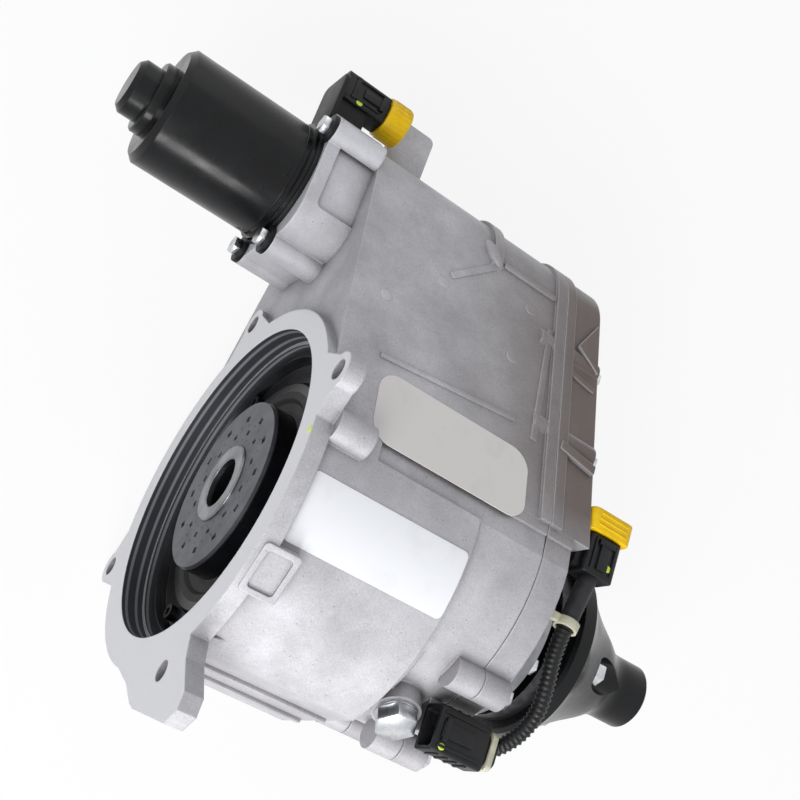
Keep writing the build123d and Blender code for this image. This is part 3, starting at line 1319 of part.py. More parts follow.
conduit_radii = bend_radii(conduit_route)
print("conduit bend radii", [round(radius, 1) for radius in conduit_radii])

with BuildPart() as conduit:
    with BuildLine() as conduit_path:
        FilletPolyline(*conduit_route, radius=conduit_radii)
    with BuildSketch(Plane(origin=clip_point, z_dir=run)):
        Circle(CONDUIT_R)
    sweep(path=conduit_path.wire())
save(conduit, "conduit")
conduit_length = sum(edge.length for edge in conduit_path.edges())
print("conduit volume", round(conduit.part.volume), "expected", round(pi * CONDUIT_R**2 * conduit_length))

# Tail connector on the barrel's lower side
tail_face = Plane(origin=(TAIL_X + TAIL_LENGTH / 2, TAIL_Y, TAIL_Z), x_dir=(0, 1, 0), z_dir=(1, 0, 0))
with BuildPart() as tail_connector:
    with BuildSketch(tail_face):
        RectangleRounded(TAIL_W, TAIL_T, 2)
    extrude(amount=-TAIL_LENGTH)
    with BuildSketch(tail_face):
        RectangleRounded(TAIL_W - 8, TAIL_T - 3, 4)
    extrude(amount=TAIL_NECK_LENGTH)
    with BuildSketch(tail_face.offset(-TAIL_LENGTH)):
        RectangleRounded(TAIL_W - 4, TAIL_T - 4, 2)
    extrude(amount=TAIL_SOCKET_DEPTH, mode=Mode.SUBTRACT)
save(tail_connector, "tail_connector")

# Contact pins in the sockets of all three connectors
with BuildPart() as contact_pins:
    for side in (-1, 1):
        place = (UPPER_PLUG_Y + side * CONTACT_SPACING / 2, UPPER_PLUG_Z)
        ring(UPPER_BODY_END - SOCKET_SINK, spigot_end - 3, CONTACT_R, at=place)
    with BuildSketch(lower_face.offset(lower_socket_start)):
        with GridLocations(CONTACT_SPACING, CONTACT_SPACING, 3, 1):
            Circle(CONTACT_R)
    extrude(amount=lower_spigot_end - lower_socket_start - 3)
    with BuildSketch(tail_face.offset(TAIL_SOCKET_DEPTH - TAIL_LENGTH)):
        with GridLocations(CONTACT_SPACING, CONTACT_SPACING, 3, 2):
            Circle(CONTACT_R)
    extrude(amount=-TAIL_PIN_LENGTH)
save(contact_pins, "contact_pins")

# Two clips: one holds the sleeve to the rear cover, one closes round the tail connector's neck
with BuildPart() as harness_clips:
    clip_face = Plane(origin=clip_point + run.normalized(), z_dir=run)
    with BuildSketch(clip_face) as clip_ring:
        Circle(SLEEVE_R + CLIP_WALL)
    extrude(clip_ring.sketch, amount=-CLIP_W)
    with BuildSketch(across(BARREL_REAR)) as clip_arm:
        with Locations((clip_point.Y + CLIP_ARM_SHIFT, clip_point.Z)):
            RectangleRounded(CLIP_W, CLIP_ARM_T, 1)
    extrude(clip_arm.sketch, amount=clip_point.X - BARREL_REAR)
    with BuildSketch(clip_face) as clip_hole:
        Circle(SLEEVE_R)
    extrude(clip_hole.sketch, amount=-4 * CLIP_W, mode=Mode.SUBTRACT)
    extrude(clip_hole.sketch, amount=4 * CLIP_W, mode=Mode.SUBTRACT)
    with BuildSketch(tail_face.offset(TAIL_NECK_LENGTH / 2 - CLIP_WALL)) as neck_ring:
        RectangleRounded(TAIL_W - 4, TAIL_T, 3)
        RectangleRounded(TAIL_W - 8, TAIL_T - 3, 4, mode=Mode.SUBTRACT)
    extrude(neck_ring.sketch, amount=CLIP_WALL * 2)
save(harness_clips, "harness_clips")
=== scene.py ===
from math import cos, pi, radians, sin

import bmesh
import bpy
from mathutils import Matrix, Vector


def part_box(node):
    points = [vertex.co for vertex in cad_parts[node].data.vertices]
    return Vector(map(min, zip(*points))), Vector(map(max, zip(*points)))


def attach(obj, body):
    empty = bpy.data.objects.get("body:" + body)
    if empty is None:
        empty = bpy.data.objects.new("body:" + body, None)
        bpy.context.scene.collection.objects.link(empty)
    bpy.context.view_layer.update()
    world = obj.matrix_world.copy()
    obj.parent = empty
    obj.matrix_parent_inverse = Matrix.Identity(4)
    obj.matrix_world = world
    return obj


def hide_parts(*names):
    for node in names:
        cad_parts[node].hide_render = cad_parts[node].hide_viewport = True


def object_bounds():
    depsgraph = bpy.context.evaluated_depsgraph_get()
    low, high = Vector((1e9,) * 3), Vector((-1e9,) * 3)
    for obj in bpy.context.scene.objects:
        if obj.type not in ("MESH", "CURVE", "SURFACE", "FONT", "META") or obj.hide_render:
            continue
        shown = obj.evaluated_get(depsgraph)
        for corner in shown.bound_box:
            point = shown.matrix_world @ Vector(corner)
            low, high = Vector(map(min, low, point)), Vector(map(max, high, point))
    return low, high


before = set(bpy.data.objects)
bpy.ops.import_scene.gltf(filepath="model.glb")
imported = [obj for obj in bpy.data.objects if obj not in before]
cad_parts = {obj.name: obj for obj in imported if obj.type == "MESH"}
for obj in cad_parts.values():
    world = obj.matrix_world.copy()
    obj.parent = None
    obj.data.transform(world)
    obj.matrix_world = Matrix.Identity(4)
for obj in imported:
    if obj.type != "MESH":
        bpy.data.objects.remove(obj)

cad_low, cad_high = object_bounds()


# Camera: a short telephoto above the bell end that looks along the barrel toward the motor
# side, at the photograph's distance and tilt.
scene = bpy.context.scene
scene.view_settings.view_transform = "Standard"
lens = bpy.data.cameras.new("photo_lens")
lens.lens = 58.5
lens.sensor_width = 36.0
lens.clip_start = 0.01
photo_camera = bpy.data.objects.new("photo_camera", lens)
scene.collection.objects.link(photo_camera)
photo_camera.matrix_world = Matrix(
    (
        (0.78925985, -0.47184223, -0.39298066, -0.210431),
        (0.31037723, 0.85874203, -0.4077108, -0.213051),
        (0.52984418, 0.19981752, 0.82421969, 0.624544),
        (0.0, 0.0, 0.0, 1.0),
    )
)
scene.camera = photo_camera


# Table and light: white card under the coupling, one large soft box on the bell side, a smaller
# one that draws the grey band down the motor can, a weak one behind and a white surround.
def colour(hex_code):
    """An sRGB hex colour as the linear one that Blender's sockets take."""
    parts = [int(hex_code[k : k + 2], 16) / 255 for k in (0, 2, 4)]
    return [p / 12.92 if p <= 0.04045 else ((p + 0.055) / 1.055) ** 2.4 for p in parts] + [1.0]


def add(tree, kind, settings=(), links=()):
    """Adds a node, sets its fields and sockets, and links its sockets to other nodes' outputs."""
    node = tree.nodes.new(kind)
    for key, value in dict(settings).items():
        if isinstance(key, str) and hasattr(node, key):
            setattr(node, key, value)
        else:
            node.inputs[key].default_value = value
    for key, source in dict(links).items():
        tree.links.new(source, node.inputs[key])
    return node


def new_material(name):
    """A named material with an empty node tree."""
    material = bpy.data.materials.new(name)
    material.use_nodes = True
    material.node_tree.nodes.clear()
    return material, material.node_tree


def viewed(tree):
    """A node that is 1 for rays the camera sees straight, mirrored or through glass, else 0."""
    ray = add(tree, "ShaderNodeLightPath").outputs
    seen = add(
        tree, "ShaderNodeMath", {"operation": "MAXIMUM"},
        {0: ray["Is Camera Ray"], 1: ray["Is Glossy Ray"]},
    )
    return add(
        tree, "ShaderNodeMath", {"operation": "MAXIMUM"},
        {0: seen.outputs[0], 1: ray["Is Transmission Ray"]},
    )


card, tree = new_material("white_card")
shown = viewed(tree)
fibre = add(tree, "ShaderNodeTexNoise", {"Scale": 900.0, "Detail": 3.0})
tooth = add(
    tree, "ShaderNodeBump", {"Strength": 0.1, "Distance": 0.0001}, {"Height": fibre.outputs["Fac"]},
)
board = add(
    tree, "ShaderNodeBsdfDiffuse", {"Color": colour("FAFAFA"), "Roughness": 1.0},
    {"Normal": tooth.outputs[0]},
)
lift = add(tree, "ShaderNodeEmission", {"Color": colour("FFFFFF"), "Strength": 1.0})
share = add(tree, "ShaderNodeMath", {"operation": "MULTIPLY", 1: 0.86}, {0: shown.outputs[0]})
blend = add(
    tree, "ShaderNodeMixShader", {}, {0: share.outputs[0], 1: board.outputs[0], 2: lift.outputs[0]},
)
add(tree, "ShaderNodeOutputMaterial", {}, {"Surface": blend.outputs[0]})

table = bmesh.new()
bmesh.ops.create_grid(table, x_segments=2, y_segments=2, size=6.0)
bmesh.ops.translate(table, verts=table.verts, vec=(0.0, 0.0, cad_low.z - 0.0002))
table_mesh = bpy.data.meshes.new("table")
table.to_mesh(table_mesh)
table.free()
table_mesh.materials.append(card)
table = bpy.data.objects.new("table", table_mesh)
scene.collection.objects.link(table)

surround = bpy.data.worlds.new("white_surround")
surround.use_nodes = True
tree = surround.node_tree
tree.nodes.clear()
shown = viewed(tree)
soft_sky = add(tree, "ShaderNodeBackground", {"Color": colour("F1F4FB"), "Strength": 0.44})
white_wall = add(tree, "ShaderNodeBackground", {"Color": colour("FFFFFF"), "Strength": 1.0})
blend = add(
    tree, "ShaderNodeMixShader", {},
    {0: shown.outputs[0], 1: soft_sky.outputs[0], 2: white_wall.outputs[0]},
)
add(tree, "ShaderNodeOutputWorld", {}, {"Surface": blend.outputs[0]})
scene.world = surround

for name, place, aim, width, watts in (
    ("key_box", (-0.6, -1.2, 0.9), (0.08, 0.03, 0.0), 0.8, 17.0),
    ("can_strip", (0.2, -1.1, 0.22), (-0.05, 0.17, 0.0), 0.34, 5.5),
    ("back_box", (-0.3, 1.5, 1.2), (0.05, 0.1, 0.0), 1.2, 3.0),
):
    lamp = bpy.data.lights.new(name, "AREA")
    lamp.size = width
    lamp.energy = watts
    holder = bpy.data.objects.new(name, lamp)
    holder.location = place
    holder.rotation_euler = (Vector(aim) - Vector(place)).to_track_quat("-Z", "Y").to_euler()
    scene.collection.objects.link(holder)


# Housing and rear cover: two gravity-cast aluminium shells, blasted after casting so the skin is
# dull and grainy, with milled joint faces. The bell flange's face and the split are bare metal.
wave_mm = 314  # a wave texture repeats every 314 / Scale millimetres
bell_bore_r, bell_bore_end = 0.0902, 0.05


def finish_as(material, *names):
    """Puts a material on CAD nodes through their objects' material slots."""
    for name in names:
        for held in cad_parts[name].material_slots:
            held.material = material


def cast_aluminium(name, skin, stain, bright, grain_mm, milled_at, edge_mm=1.2, painted_arm_shade=0.0):
    """Blasted casting: cloudy oxide, a grain that follows its size, rubbed edges and milled flats.
    Painted shade darkens its corners, and the bell's bore is painted dark with pale bands at the
    steps as painted highlights. The last argument sets a painted shade that turns the arm's
    upward broad face darker brown toward the split."""
    material, tree = new_material(name)
    at = add(tree, "ShaderNodeTexCoord")
    here = at.outputs["Object"]
    cloud = add(
        tree, "ShaderNodeTexNoise", {"Scale": 26.0, "Detail": 4.0, "Roughness": 0.62},
        {"Vector": here},
    )
    smear = add(
        tree, "ShaderNodeTexNoise", {"Scale": 90.0, "Detail": 2.0, "Distortion": 0.6},
        {"Vector": here},
    )
    grain = add(
        tree, "ShaderNodeTexNoise", {"Scale": 1000 / grain_mm, "Detail": 2.0, "Roughness": 0.7},
        {"Vector": here},
    )
    wave = add(tree, "ShaderNodeTexNoise", {"Scale": 70.0, "Detail": 2.0}, {"Vector": here})
    pore = add(tree, "ShaderNodeTexVoronoi", {"Scale": 210.0, "Randomness": 1.0}, {"Vector": here})
    pores = add(
        tree, "ShaderNodeMapRange",
        {"From Min": 0.05, "From Max": 0.11, "To Min": 1.0, "To Max": 0.0},
        {"Value": pore.outputs["Distance"]},
    )
    rounded = add(tree, "ShaderNodeBevel", {"samples": 5, "Radius": edge_mm / 1000})
    facing = add(tree, "ShaderNodeNewGeometry")
    turn = add(
        tree, "ShaderNodeVectorMath", {"operation": "DOT_PRODUCT"},
        {0: rounded.outputs[0], 1: facing.outputs["Normal"]},
    )
    edge = add(
        tree, "ShaderNodeMapRange", {"From Min": 0.995, "From Max": 0.86, "To Max": 0.55},
        {"Value": turn.outputs["Value"]},
    )
    cloud_step = add(
        tree, "ShaderNodeMapRange", {"From Min": 0.36, "From Max": 0.66},
        {"Value": cloud.outputs["Fac"]},
    )
    tone = add(
        tree, "ShaderNodeMix", {"data_type": "RGBA", 6: colour(skin), 7: colour(stain)},
        {0: cloud_step.outputs[0]},
    )
    smear_step = add(
        tree, "ShaderNodeMapRange", {"From Min": 0.52, "From Max": 0.75, "To Max": 0.35},
        {"Value": smear.outputs["Fac"]},
    )
    smeared = add(
        tree, "ShaderNodeMix", {"data_type": "RGBA", 7: colour(stain)},
        {0: smear_step.outputs[0], 6: tone.outputs[2]},
    )
    side = add(tree, "ShaderNodeSeparateXYZ", {}, {0: at.outputs["Normal"]})
    along = add(tree, "ShaderNodeSeparateXYZ", {}, {0: here})
    # Painted shade: on the arm's upward faces toward the split, the colour is mixed toward darker
    # brown 6E635E by the last argument's amount.
    upward = add(
        tree, "ShaderNodeMapRange", {"From Min": 0.6, "From Max": 0.9},
        {"Value": side.outputs["Z"]},
    )
    armward = add(
        tree, "ShaderNodeMapRange", {"From Min": 0.012, "From Max": 0.05},
        {"Value": along.outputs["Y"]},
    )
    splitward = add(
        tree, "ShaderNodeMapRange", {"From Min": 0.06, "From Max": 0.165},
        {"Value": along.outputs["X"]},
    )
    on_face = add(
        tree, "ShaderNodeMath", {"operation": "MULTIPLY"},
        {0: upward.outputs[0], 1: armward.outputs[0]},
    )
    arm_shade_mask = add(
        tree, "ShaderNodeMath", {"operation": "MULTIPLY"},
        {0: on_face.outputs[0], 1: splitward.outputs[0]},
    )
    arm_shade_amount = add(
        tree, "ShaderNodeMath", {"operation": "MULTIPLY", 1: painted_arm_shade}, {0: arm_shade_mask.outputs[0]},
    )
    arm_shaded = add(
        tree, "ShaderNodeMix", {"data_type": "RGBA", 7: colour("6E635E")},
        {0: arm_shade_amount.outputs[0], 6: smeared.outputs[2]},
    )
    # Painted shade: the colour goes toward 4E4845 where ambient occlusion finds corners and
    # crevices.
    corner = add(tree, "ShaderNodeAmbientOcclusion", {"samples": 4, "Distance": 0.014})
    painted_corner_shade = add(
        tree, "ShaderNodeMapRange",
        {"From Min": 0.25, "From Max": 0.85, "To Min": 0.75, "To Max": 0.0},
        {"Value": corner.outputs["AO"]},
    )
    corner_shaded = add(
        tree, "ShaderNodeMix", {"data_type": "RGBA", 7: colour("4E4845")},
        {0: painted_corner_shade.outputs[0], 6: arm_shaded.outputs[2]},
    )
    speck = add(
        tree, "ShaderNodeMapRange",
        {"From Min": 0.3, "From Max": 0.7, "To Min": 0.86, "To Max": 1.1},
        {"Value": grain.outputs["Fac"]},
    )
    sanded = add(
        tree, "ShaderNodeMix", {"data_type": "RGBA", "blend_type": "MULTIPLY", 0: 1.0},
        {6: corner_shaded.outputs[2], 7: speck.outputs[0]},
    )
    rubbed = add(
        tree, "ShaderNodeMix", {"data_type": "RGBA", 7: colour(bright)},
        {0: edge.outputs[0], 6: sanded.outputs[2]},
    )
    spot = add(tree, "ShaderNodeMath", {"operation": "MULTIPLY", 1: 0.35}, {0: pores.outputs[0]})
    pitted = add(
        tree, "ShaderNodeMix", {"data_type": "RGBA", 7: colour("5A5650")},
        {0: spot.outputs[0], 6: rubbed.outputs[2]},
    )
    square = add(tree, "ShaderNodeMath", {"operation": "ABSOLUTE"}, {0: side.outputs["X"]})
    level = add(
        tree, "ShaderNodeMath", {"operation": "GREATER_THAN", 1: 0.97}, {0: square.outputs[0]},
    )
    flat = None
    for x in milled_at:
        plane = add(
            tree, "ShaderNodeMath", {"operation": "COMPARE", 1: x / 1000, 2: 0.0003},
            {0: along.outputs["X"]},
        )
        flat = plane if flat is None else add(
            tree, "ShaderNodeMath", {"operation": "MAXIMUM"},
            {0: flat.outputs[0], 1: plane.outputs[0]},
        )
    milled = add(
        tree, "ShaderNodeMath", {"operation": "MULTIPLY"},
        {0: level.outputs[0], 1: flat.outputs[0]},
    )
    sweep = add(
        tree, "ShaderNodeTexWave",
        {"wave_type": "RINGS", "rings_direction": "X", "Scale": wave_mm / 1.2, "Distortion": 0.4},
        {"Vector": here},
    )
    cutter = add(
        tree, "ShaderNodeMapRange", {"To Min": 0.9, "To Max": 1.0}, {"Value": sweep.outputs["Fac"]},
    )
    bare = add(
        tree, "ShaderNodeMix",
        {"data_type": "RGBA", "blend_type": "MULTIPLY", 0: 1.0, 6: colour(bright)},
        {7: cutter.outputs[0]},
    )
    faced = add(
        tree, "ShaderNodeMix", {"data_type": "RGBA"},
        {0: milled.outputs[0], 6: pitted.outputs[2], 7: bare.outputs[2]},
    )
    # Painted shade and painted highlights: on the bell's inward-facing bore the colour turns dark
    # 38393D, with pale 8B8D93 bands at its steps.
    off_axis = add(
        tree, "ShaderNodeVectorMath", {"operation": "MULTIPLY", 1: (0.0, 1.0, 1.0)}, {0: here},
    )
    radius = add(tree, "ShaderNodeVectorMath", {"operation": "LENGTH"}, {0: off_axis.outputs[0]})
    outward = add(
        tree, "ShaderNodeVectorMath", {"operation": "DOT_PRODUCT"},
        {0: off_axis.outputs[0], 1: at.outputs["Normal"]},
    )
    inward = add(
        tree, "ShaderNodeMath", {"operation": "LESS_THAN", 1: -0.02}, {0: outward.outputs["Value"]},
    )
    near = add(
        tree, "ShaderNodeMath", {"operation": "LESS_THAN", 1: bell_bore_r},
        {0: radius.outputs["Value"]},
    )
    walled = add(
        tree, "ShaderNodeMath", {"operation": "MULTIPLY"},
        {0: near.outputs[0], 1: inward.outputs[0]},
    )
    mouthward = add(
        tree, "ShaderNodeMath", {"operation": "LESS_THAN", 1: bell_bore_end},
        {0: along.outputs["X"]},
    )
    in_bore = add(
        tree, "ShaderNodeMath", {"operation": "MULTIPLY"},
        {0: walled.outputs[0], 1: mouthward.outputs[0]},
    )
    steps = add(
        tree, "ShaderNodeTexWave",
        {"wave_type": "BANDS", "bands_direction": "X", "Scale": wave_mm / 6}, {"Vector": here},
    )
    painted_step_highlight = add(
        tree, "ShaderNodeMapRange", {"From Min": 0.7, "From Max": 0.95},
        {"Value": steps.outputs["Fac"]},
    )
    bore_shade_and_highlights = add(
        tree, "ShaderNodeMix", {"data_type": "RGBA", 6: colour("38393D"), 7: colour("8B8D93")},
        {0: painted_step_highlight.outputs[0]},
    )
    surface = add(
        tree, "ShaderNodeMix", {"data_type": "RGBA"},
        {0: in_bore.outputs[0], 6: faced.outputs[2], 7: bore_shade_and_highlights.outputs[2]},
    )
    dull = add(
        tree, "ShaderNodeMapRange",
        {"From Min": 0.3, "From Max": 0.7, "To Min": 0.5, "To Max": 0.64},
        {"Value": cloud.outputs["Fac"]},
    )
    gloss = add(tree, "ShaderNodeMix", {3: 0.33}, {0: milled.outputs[0], 2: dull.outputs[0]})
    swell = add(
        tree, "ShaderNodeBump", {"Strength": 0.6, "Distance": 0.0006},
        {"Height": wave.outputs["Fac"], "Normal": rounded.outputs[0]},
    )
    sand = add(
        tree, "ShaderNodeBump", {"Strength": 0.7, "Distance": grain_mm / 8000},
        {"Height": grain.outputs["Fac"], "Normal": swell.outputs[0]},
    )
    dent = add(
        tree, "ShaderNodeBump", {"Strength": 0.5, "Distance": 0.0003, "invert": True},
        {"Height": pores.outputs[0], "Normal": sand.outputs[0]},
    )
    lines = add(
        tree, "ShaderNodeBump", {"Strength": 0.25, "Distance": 0.00004},
        {"Height": sweep.outputs["Fac"], "Normal": rounded.outputs[0]},
    )
    relief = add(
        tree, "ShaderNodeMix", {"data_type": "VECTOR"},
        {0: milled.outputs[0], 4: dent.outputs[0], 5: lines.outputs[0]},
    )
    metal = add(
        tree, "ShaderNodeBsdfPrincipled", {"Metallic": 0.3},
        {
            "Base Color": surface.outputs[2], "Roughness": gloss.outputs[0],
            "Normal": relief.outputs[1],
        },
    )
    add(tree, "ShaderNodeOutputMaterial", {}, {"Surface": metal.outputs[0]})
    return material


housing_skin = cast_aluminium(
    "blasted_cast_aluminium", "C2C1C5", "ADABAE", "DADADD", 0.9, (0.0, 147.2, 148.0), painted_arm_shade=0.9,
)
cover_skin = cast_aluminium(
    "rear_cover_cast_aluminium", "B9B7BA", "A19FA2", "D6D6D9", 0.9, (148.0, 165.0, 190.0),
    painted_arm_shade=1.0,
)
finish_as(housing_skin, "main_housing")
finish_as(cover_skin, "rear_cover")


# Gasket: a pressed fibre sheet between the two castings, dark grey and dry, with its cut edge
# showing as a thin line round the split.
def moulded(name, shade, fleck, roughness, grain_mm, depth_mm, gloss=0.0):
    """Moulded plastic, rubber or pressed fibre: one colour, a faint fleck and a tool-face grain."""
    material, tree = new_material(name)
    here = add(tree, "ShaderNodeTexCoord").outputs["Object"]
    grain = add(
        tree, "ShaderNodeTexNoise", {"Scale": 1000 / grain_mm, "Detail": 2.0}, {"Vector": here},
    )
    flow = add(
        tree, "ShaderNodeTexNoise", {"Scale": 120.0, "Detail": 3.0, "Distortion": 0.8},
        {"Vector": here},
    )
    flow_step = add(
        tree, "ShaderNodeMapRange", {"From Min": 0.4, "From Max": 0.75},
        {"Value": flow.outputs["Fac"]},
    )
    tone = add(
        tree, "ShaderNodeMix", {"data_type": "RGBA", 6: colour(shade), 7: colour(fleck)},
        {0: flow_step.outputs[0]},
    )
    dull = add(
        tree, "ShaderNodeMapRange",
        {"From Min": 0.3, "From Max": 0.7, "To Min": roughness - 0.07, "To Max": roughness + 0.07},
        {"Value": flow.outputs["Fac"]},
    )
    rounded = add(tree, "ShaderNodeBevel", {"samples": 4, "Radius": 0.0004})
    relief = add(
        tree, "ShaderNodeBump", {"Strength": 0.6, "Distance": depth_mm / 1000},
        {"Height": grain.outputs["Fac"], "Normal": rounded.outputs[0]},
    )
    body = add(
        tree, "ShaderNodeBsdfPrincipled",
        {"IOR": 1.5, "Specular IOR Level": 0.3, "Coat Weight": gloss, "Coat Roughness": 0.12},
        {"Base Color": tone.outputs[2], "Roughness": dull.outputs[0], "Normal": relief.outputs[0]},
    )
    add(tree, "ShaderNodeOutputMaterial", {}, {"Surface": body.outputs[0]})
    return material


finish_as(moulded("pressed_gasket_fibre", "3C3A38", "57534E", 0.85, 0.5, 0.08), "cover_gasket")


# Motor pod: a die casting bolted to the arm, brighter than the housing because its skin is
# straight from the polished die. Its recess and the motor's seat are milled.
pod_skin = cast_aluminium(
    "die_cast_pod_aluminium", "D2D2D6", "BDBCC0", "ECECEF", 0.6, (-27.0,), 1.5,
)
finish_as(pod_skin, "motor_pod")


# Gussets: small three-cornered ribs that brace the bell flange against the barrel. They are one
# casting with the housing, so they carry its skin.
def piece(name, shape, material, body, sharp_deg=38):
    """Turns a bmesh into a named piece that rides on a body, smooth except at its sharp edges."""
    bmesh.ops.recalc_face_normals(shape, faces=shape.faces)
    mesh = bpy.data.meshes.new(name)
    shape.to_mesh(mesh)
    shape.free()
    mesh.materials.append(material)
    mesh.shade_smooth()
    mesh.set_sharp_from_angle(angle=radians(sharp_deg))
    made = bpy.data.objects.new(name, mesh)
    scene.collection.objects.link(made)
    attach(made, body)
    return made


def round_edges(shape, width_mm, segments=2, over_deg=30):
    """Bevels every edge of a bmesh that turns more than the given angle."""
    turned = [
        e for e in shape.edges
        if len(e.link_faces) == 2 and e.calc_face_angle(0.0) > radians(over_deg)
    ]
    bmesh.ops.bevel(
        shape, geom=turned, offset=width_mm / 1000, offset_type="OFFSET", affect="EDGES",
        segments=segments, profile=0.5, clamp_overlap=True, material=-1,
    )


def prism(shape, corners_mm, way, thickness_mm):
    """A flat plate from its corners, in mm, pushed along way by its thickness."""
    corners = [shape.verts.new(Vector(c) / 1000) for c in corners_mm]
    plate = shape.faces.new(corners)
    pushed = bmesh.ops.extrude_face_region(shape, geom=[plate])
    moved = [g for g in pushed["geom"] if isinstance(g, bmesh.types.BMVert)]
    bmesh.ops.translate(shape, verts=moved, vec=Vector(way).normalized() * thickness_mm / 1000)


gussets = bmesh.new()
gusset_w = 4
for deg in (25, 58, 150, 205, 238, 285, 318, 345):
    out = Vector((0.0, cos(radians(deg)), sin(radians(deg))))
    side = Vector((0.0, -out.z, out.y))
    root = [out * radius + Vector((x, 0, 0)) for radius, x in ((98, 9.5), (103, 9.5), (98, 27))]
    prism(gussets, [corner - side * (gusset_w / 2) for corner in root], side, gusset_w)
round_edges(gussets, 0.8)
piece("flange_gussets", gussets, housing_skin, "housing")


# Cast ridges: low ribs and a nub on the arm's broad face, two ribs and a three-sided pad where the
# rear cover carries it on, and two rails along the barrel's side. The arm's face leans from the
# barrel down to the tip, so what stands on it is laid out along its slope.
arm_out = Vector((0.0, 0.30682, 0.95177))
arm_down = Vector((0.0, 0.95177, -0.30682))
arm_face_mm = 100.0


def on_arm(x_mm, down_mm, high_mm=0.0):
    """A point on the arm's face, in mm: along the barrel, down the slope and out from the face."""
    return Vector((x_mm, 0.0, 0.0)) + arm_down * down_mm + arm_out * (arm_face_mm + high_mm)


def low_rib(shape, start, end, half_w, proud, sink=1.5):
    """A low cast rib between two points of the arm's face, sunk a little into it."""
    along = (end - start).normalized()
    aside = along.cross(arm_out).normalized() * half_w
    base = [start + aside, start - aside, end - aside, end + aside]
    prism(shape, [corner - arm_out * sink for corner in base], arm_out, proud + sink)


ridges = bmesh.new()
low_rib(ridges, on_arm(29, 43), on_arm(118, 54), 1.6, 1.2)
low_rib(ridges, on_arm(99, 160), on_arm(139, 160), 1.8, 1.8, 4)
low_rib(ridges, on_arm(64, 126), on_arm(98, 159), 2.4, 1.0)
low_rib(ridges, on_arm(132, 48), on_arm(138, 134), 2.4, 0.9)
round_edges(ridges, 0.9, 3)
piece("arm_ridges", ridges, housing_skin, "housing")

cover_ribs = bmesh.new()
low_rib(cover_ribs, on_arm(150, 55), on_arm(175, 50), 3.2, 3.0)
low_rib(cover_ribs, on_arm(153, 112), on_arm(173, 108), 1.8, 1.6)
prism(cover_ribs, [on_arm(158, 134, -2), on_arm(173, 160, -2), on_arm(174, 121, -2)], arm_out, 5.0)
round_edges(cover_ribs, 0.8, 3)
piece("cover_arm_ribs", cover_ribs, cover_skin, "housing")

side_ribs = bmesh.new()
rail_start, rail_end, rail_y, rail_w = 9, 103, -90, 3
for low_z in (-16.0, 12.0):
    high_z = low_z + rail_w
    foot = [(rail_start, low_z), (rail_end, low_z), (rail_end, high_z), (rail_start, high_z)]
    prism(side_ribs, [(x, rail_y, z) for x, z in foot], (0, -1, 0), 4.5)
round_edges(side_ribs, 0.9, 3)
piece("barrel_side_ribs", side_ribs, housing_skin, "housing")

nub = bmesh.new()
bmesh.ops.create_uvsphere(nub, u_segments=24, v_segments=12, radius=0.001)
bmesh.ops.scale(nub, verts=nub.verts, vec=(4.5, 11.0, 5.0))
bmesh.ops.rotate(
    nub, verts=nub.verts,
    matrix=Matrix.Rotation(radians(-18), 3, "X") @ Matrix.Rotation(radians(38), 3, "Z"),
)
bmesh.ops.translate(nub, verts=nub.verts, vec=on_arm(91, 163, -1.0) / 1000)
piece("arm_tip_nub", nub, housing_skin, "housing")


def seat_on(spot_mm, way):
    """A place on a surface, in mm, with its Z axis along the way the surface faces."""
    turn = Vector(way).to_track_quat("Z", "Y").to_matrix().to_4x4()
    return Matrix.Translation(Vector(spot_mm) / 1000) @ turn


pads = bmesh.new()
for x_mm, down_mm in ((60, 118), (112, 96), (26, 84), (122, 140)):
    bmesh.ops.create_cone(
        pads, cap_ends=True, segments=32, radius1=0.0042, radius2=0.0038, depth=0.0007,
        matrix=seat_on(on_arm(x_mm, down_mm), arm_out),
    )
round_edges(pads, 0.15, 2)
piece("ejector_pads", pads, housing_skin, "housing")


# Screws and plug: zinc-plated steel hex heads, forged with a chamfered crown, and a plug on a
# plated washer. Each is a copy of its solid with its loose triangles merged and edges broken.
def plated(name, bright, shade, roughness, grain_mm):
    """Bare or plated steel: a soft cloud of shade, fine handling marks and a worn gloss."""
    material, tree = new_material(name)
    here = add(tree, "ShaderNodeTexCoord").outputs["Object"]
    cloud = add(
        tree, "ShaderNodeTexNoise", {"Scale": 140.0, "Detail": 3.0, "Distortion": 0.5},
        {"Vector": here},
    )
    grain = add(
        tree, "ShaderNodeTexNoise", {"Scale": 1000 / grain_mm, "Detail": 2.0}, {"Vector": here},
    )
    cloud_step = add(
        tree, "ShaderNodeMapRange", {"From Min": 0.38, "From Max": 0.68},
        {"Value": cloud.outputs["Fac"]},
    )
    tone = add(
        tree, "ShaderNodeMix", {"data_type": "RGBA", 6: colour(bright), 7: colour(shade)},
        {0: cloud_step.outputs[0]},
    )
    dull = add(
        tree, "ShaderNodeMapRange",
        {"From Min": 0.3, "From Max": 0.7, "To Min": roughness - 0.06, "To Max": roughness + 0.08},
        {"Value": cloud.outputs["Fac"]},
    )
    rounded = add(tree, "ShaderNodeBevel", {"samples": 4, "Radius": 0.0004})
    relief = add(
        tree, "ShaderNodeBump", {"Strength": 0.4, "Distance": 0.00004},
        {"Height": grain.outputs["Fac"], "Normal": rounded.outputs[0]},
    )
    metal = add(
        tree, "ShaderNodeBsdfPrincipled", {"Metallic": 1.0},
        {"Base Color": tone.outputs[2], "Roughness": dull.outputs[0], "Normal": relief.outputs[0]},
    )
    add(tree, "ShaderNodeOutputMaterial", {}, {"Surface": metal.outputs[0]})
    return material


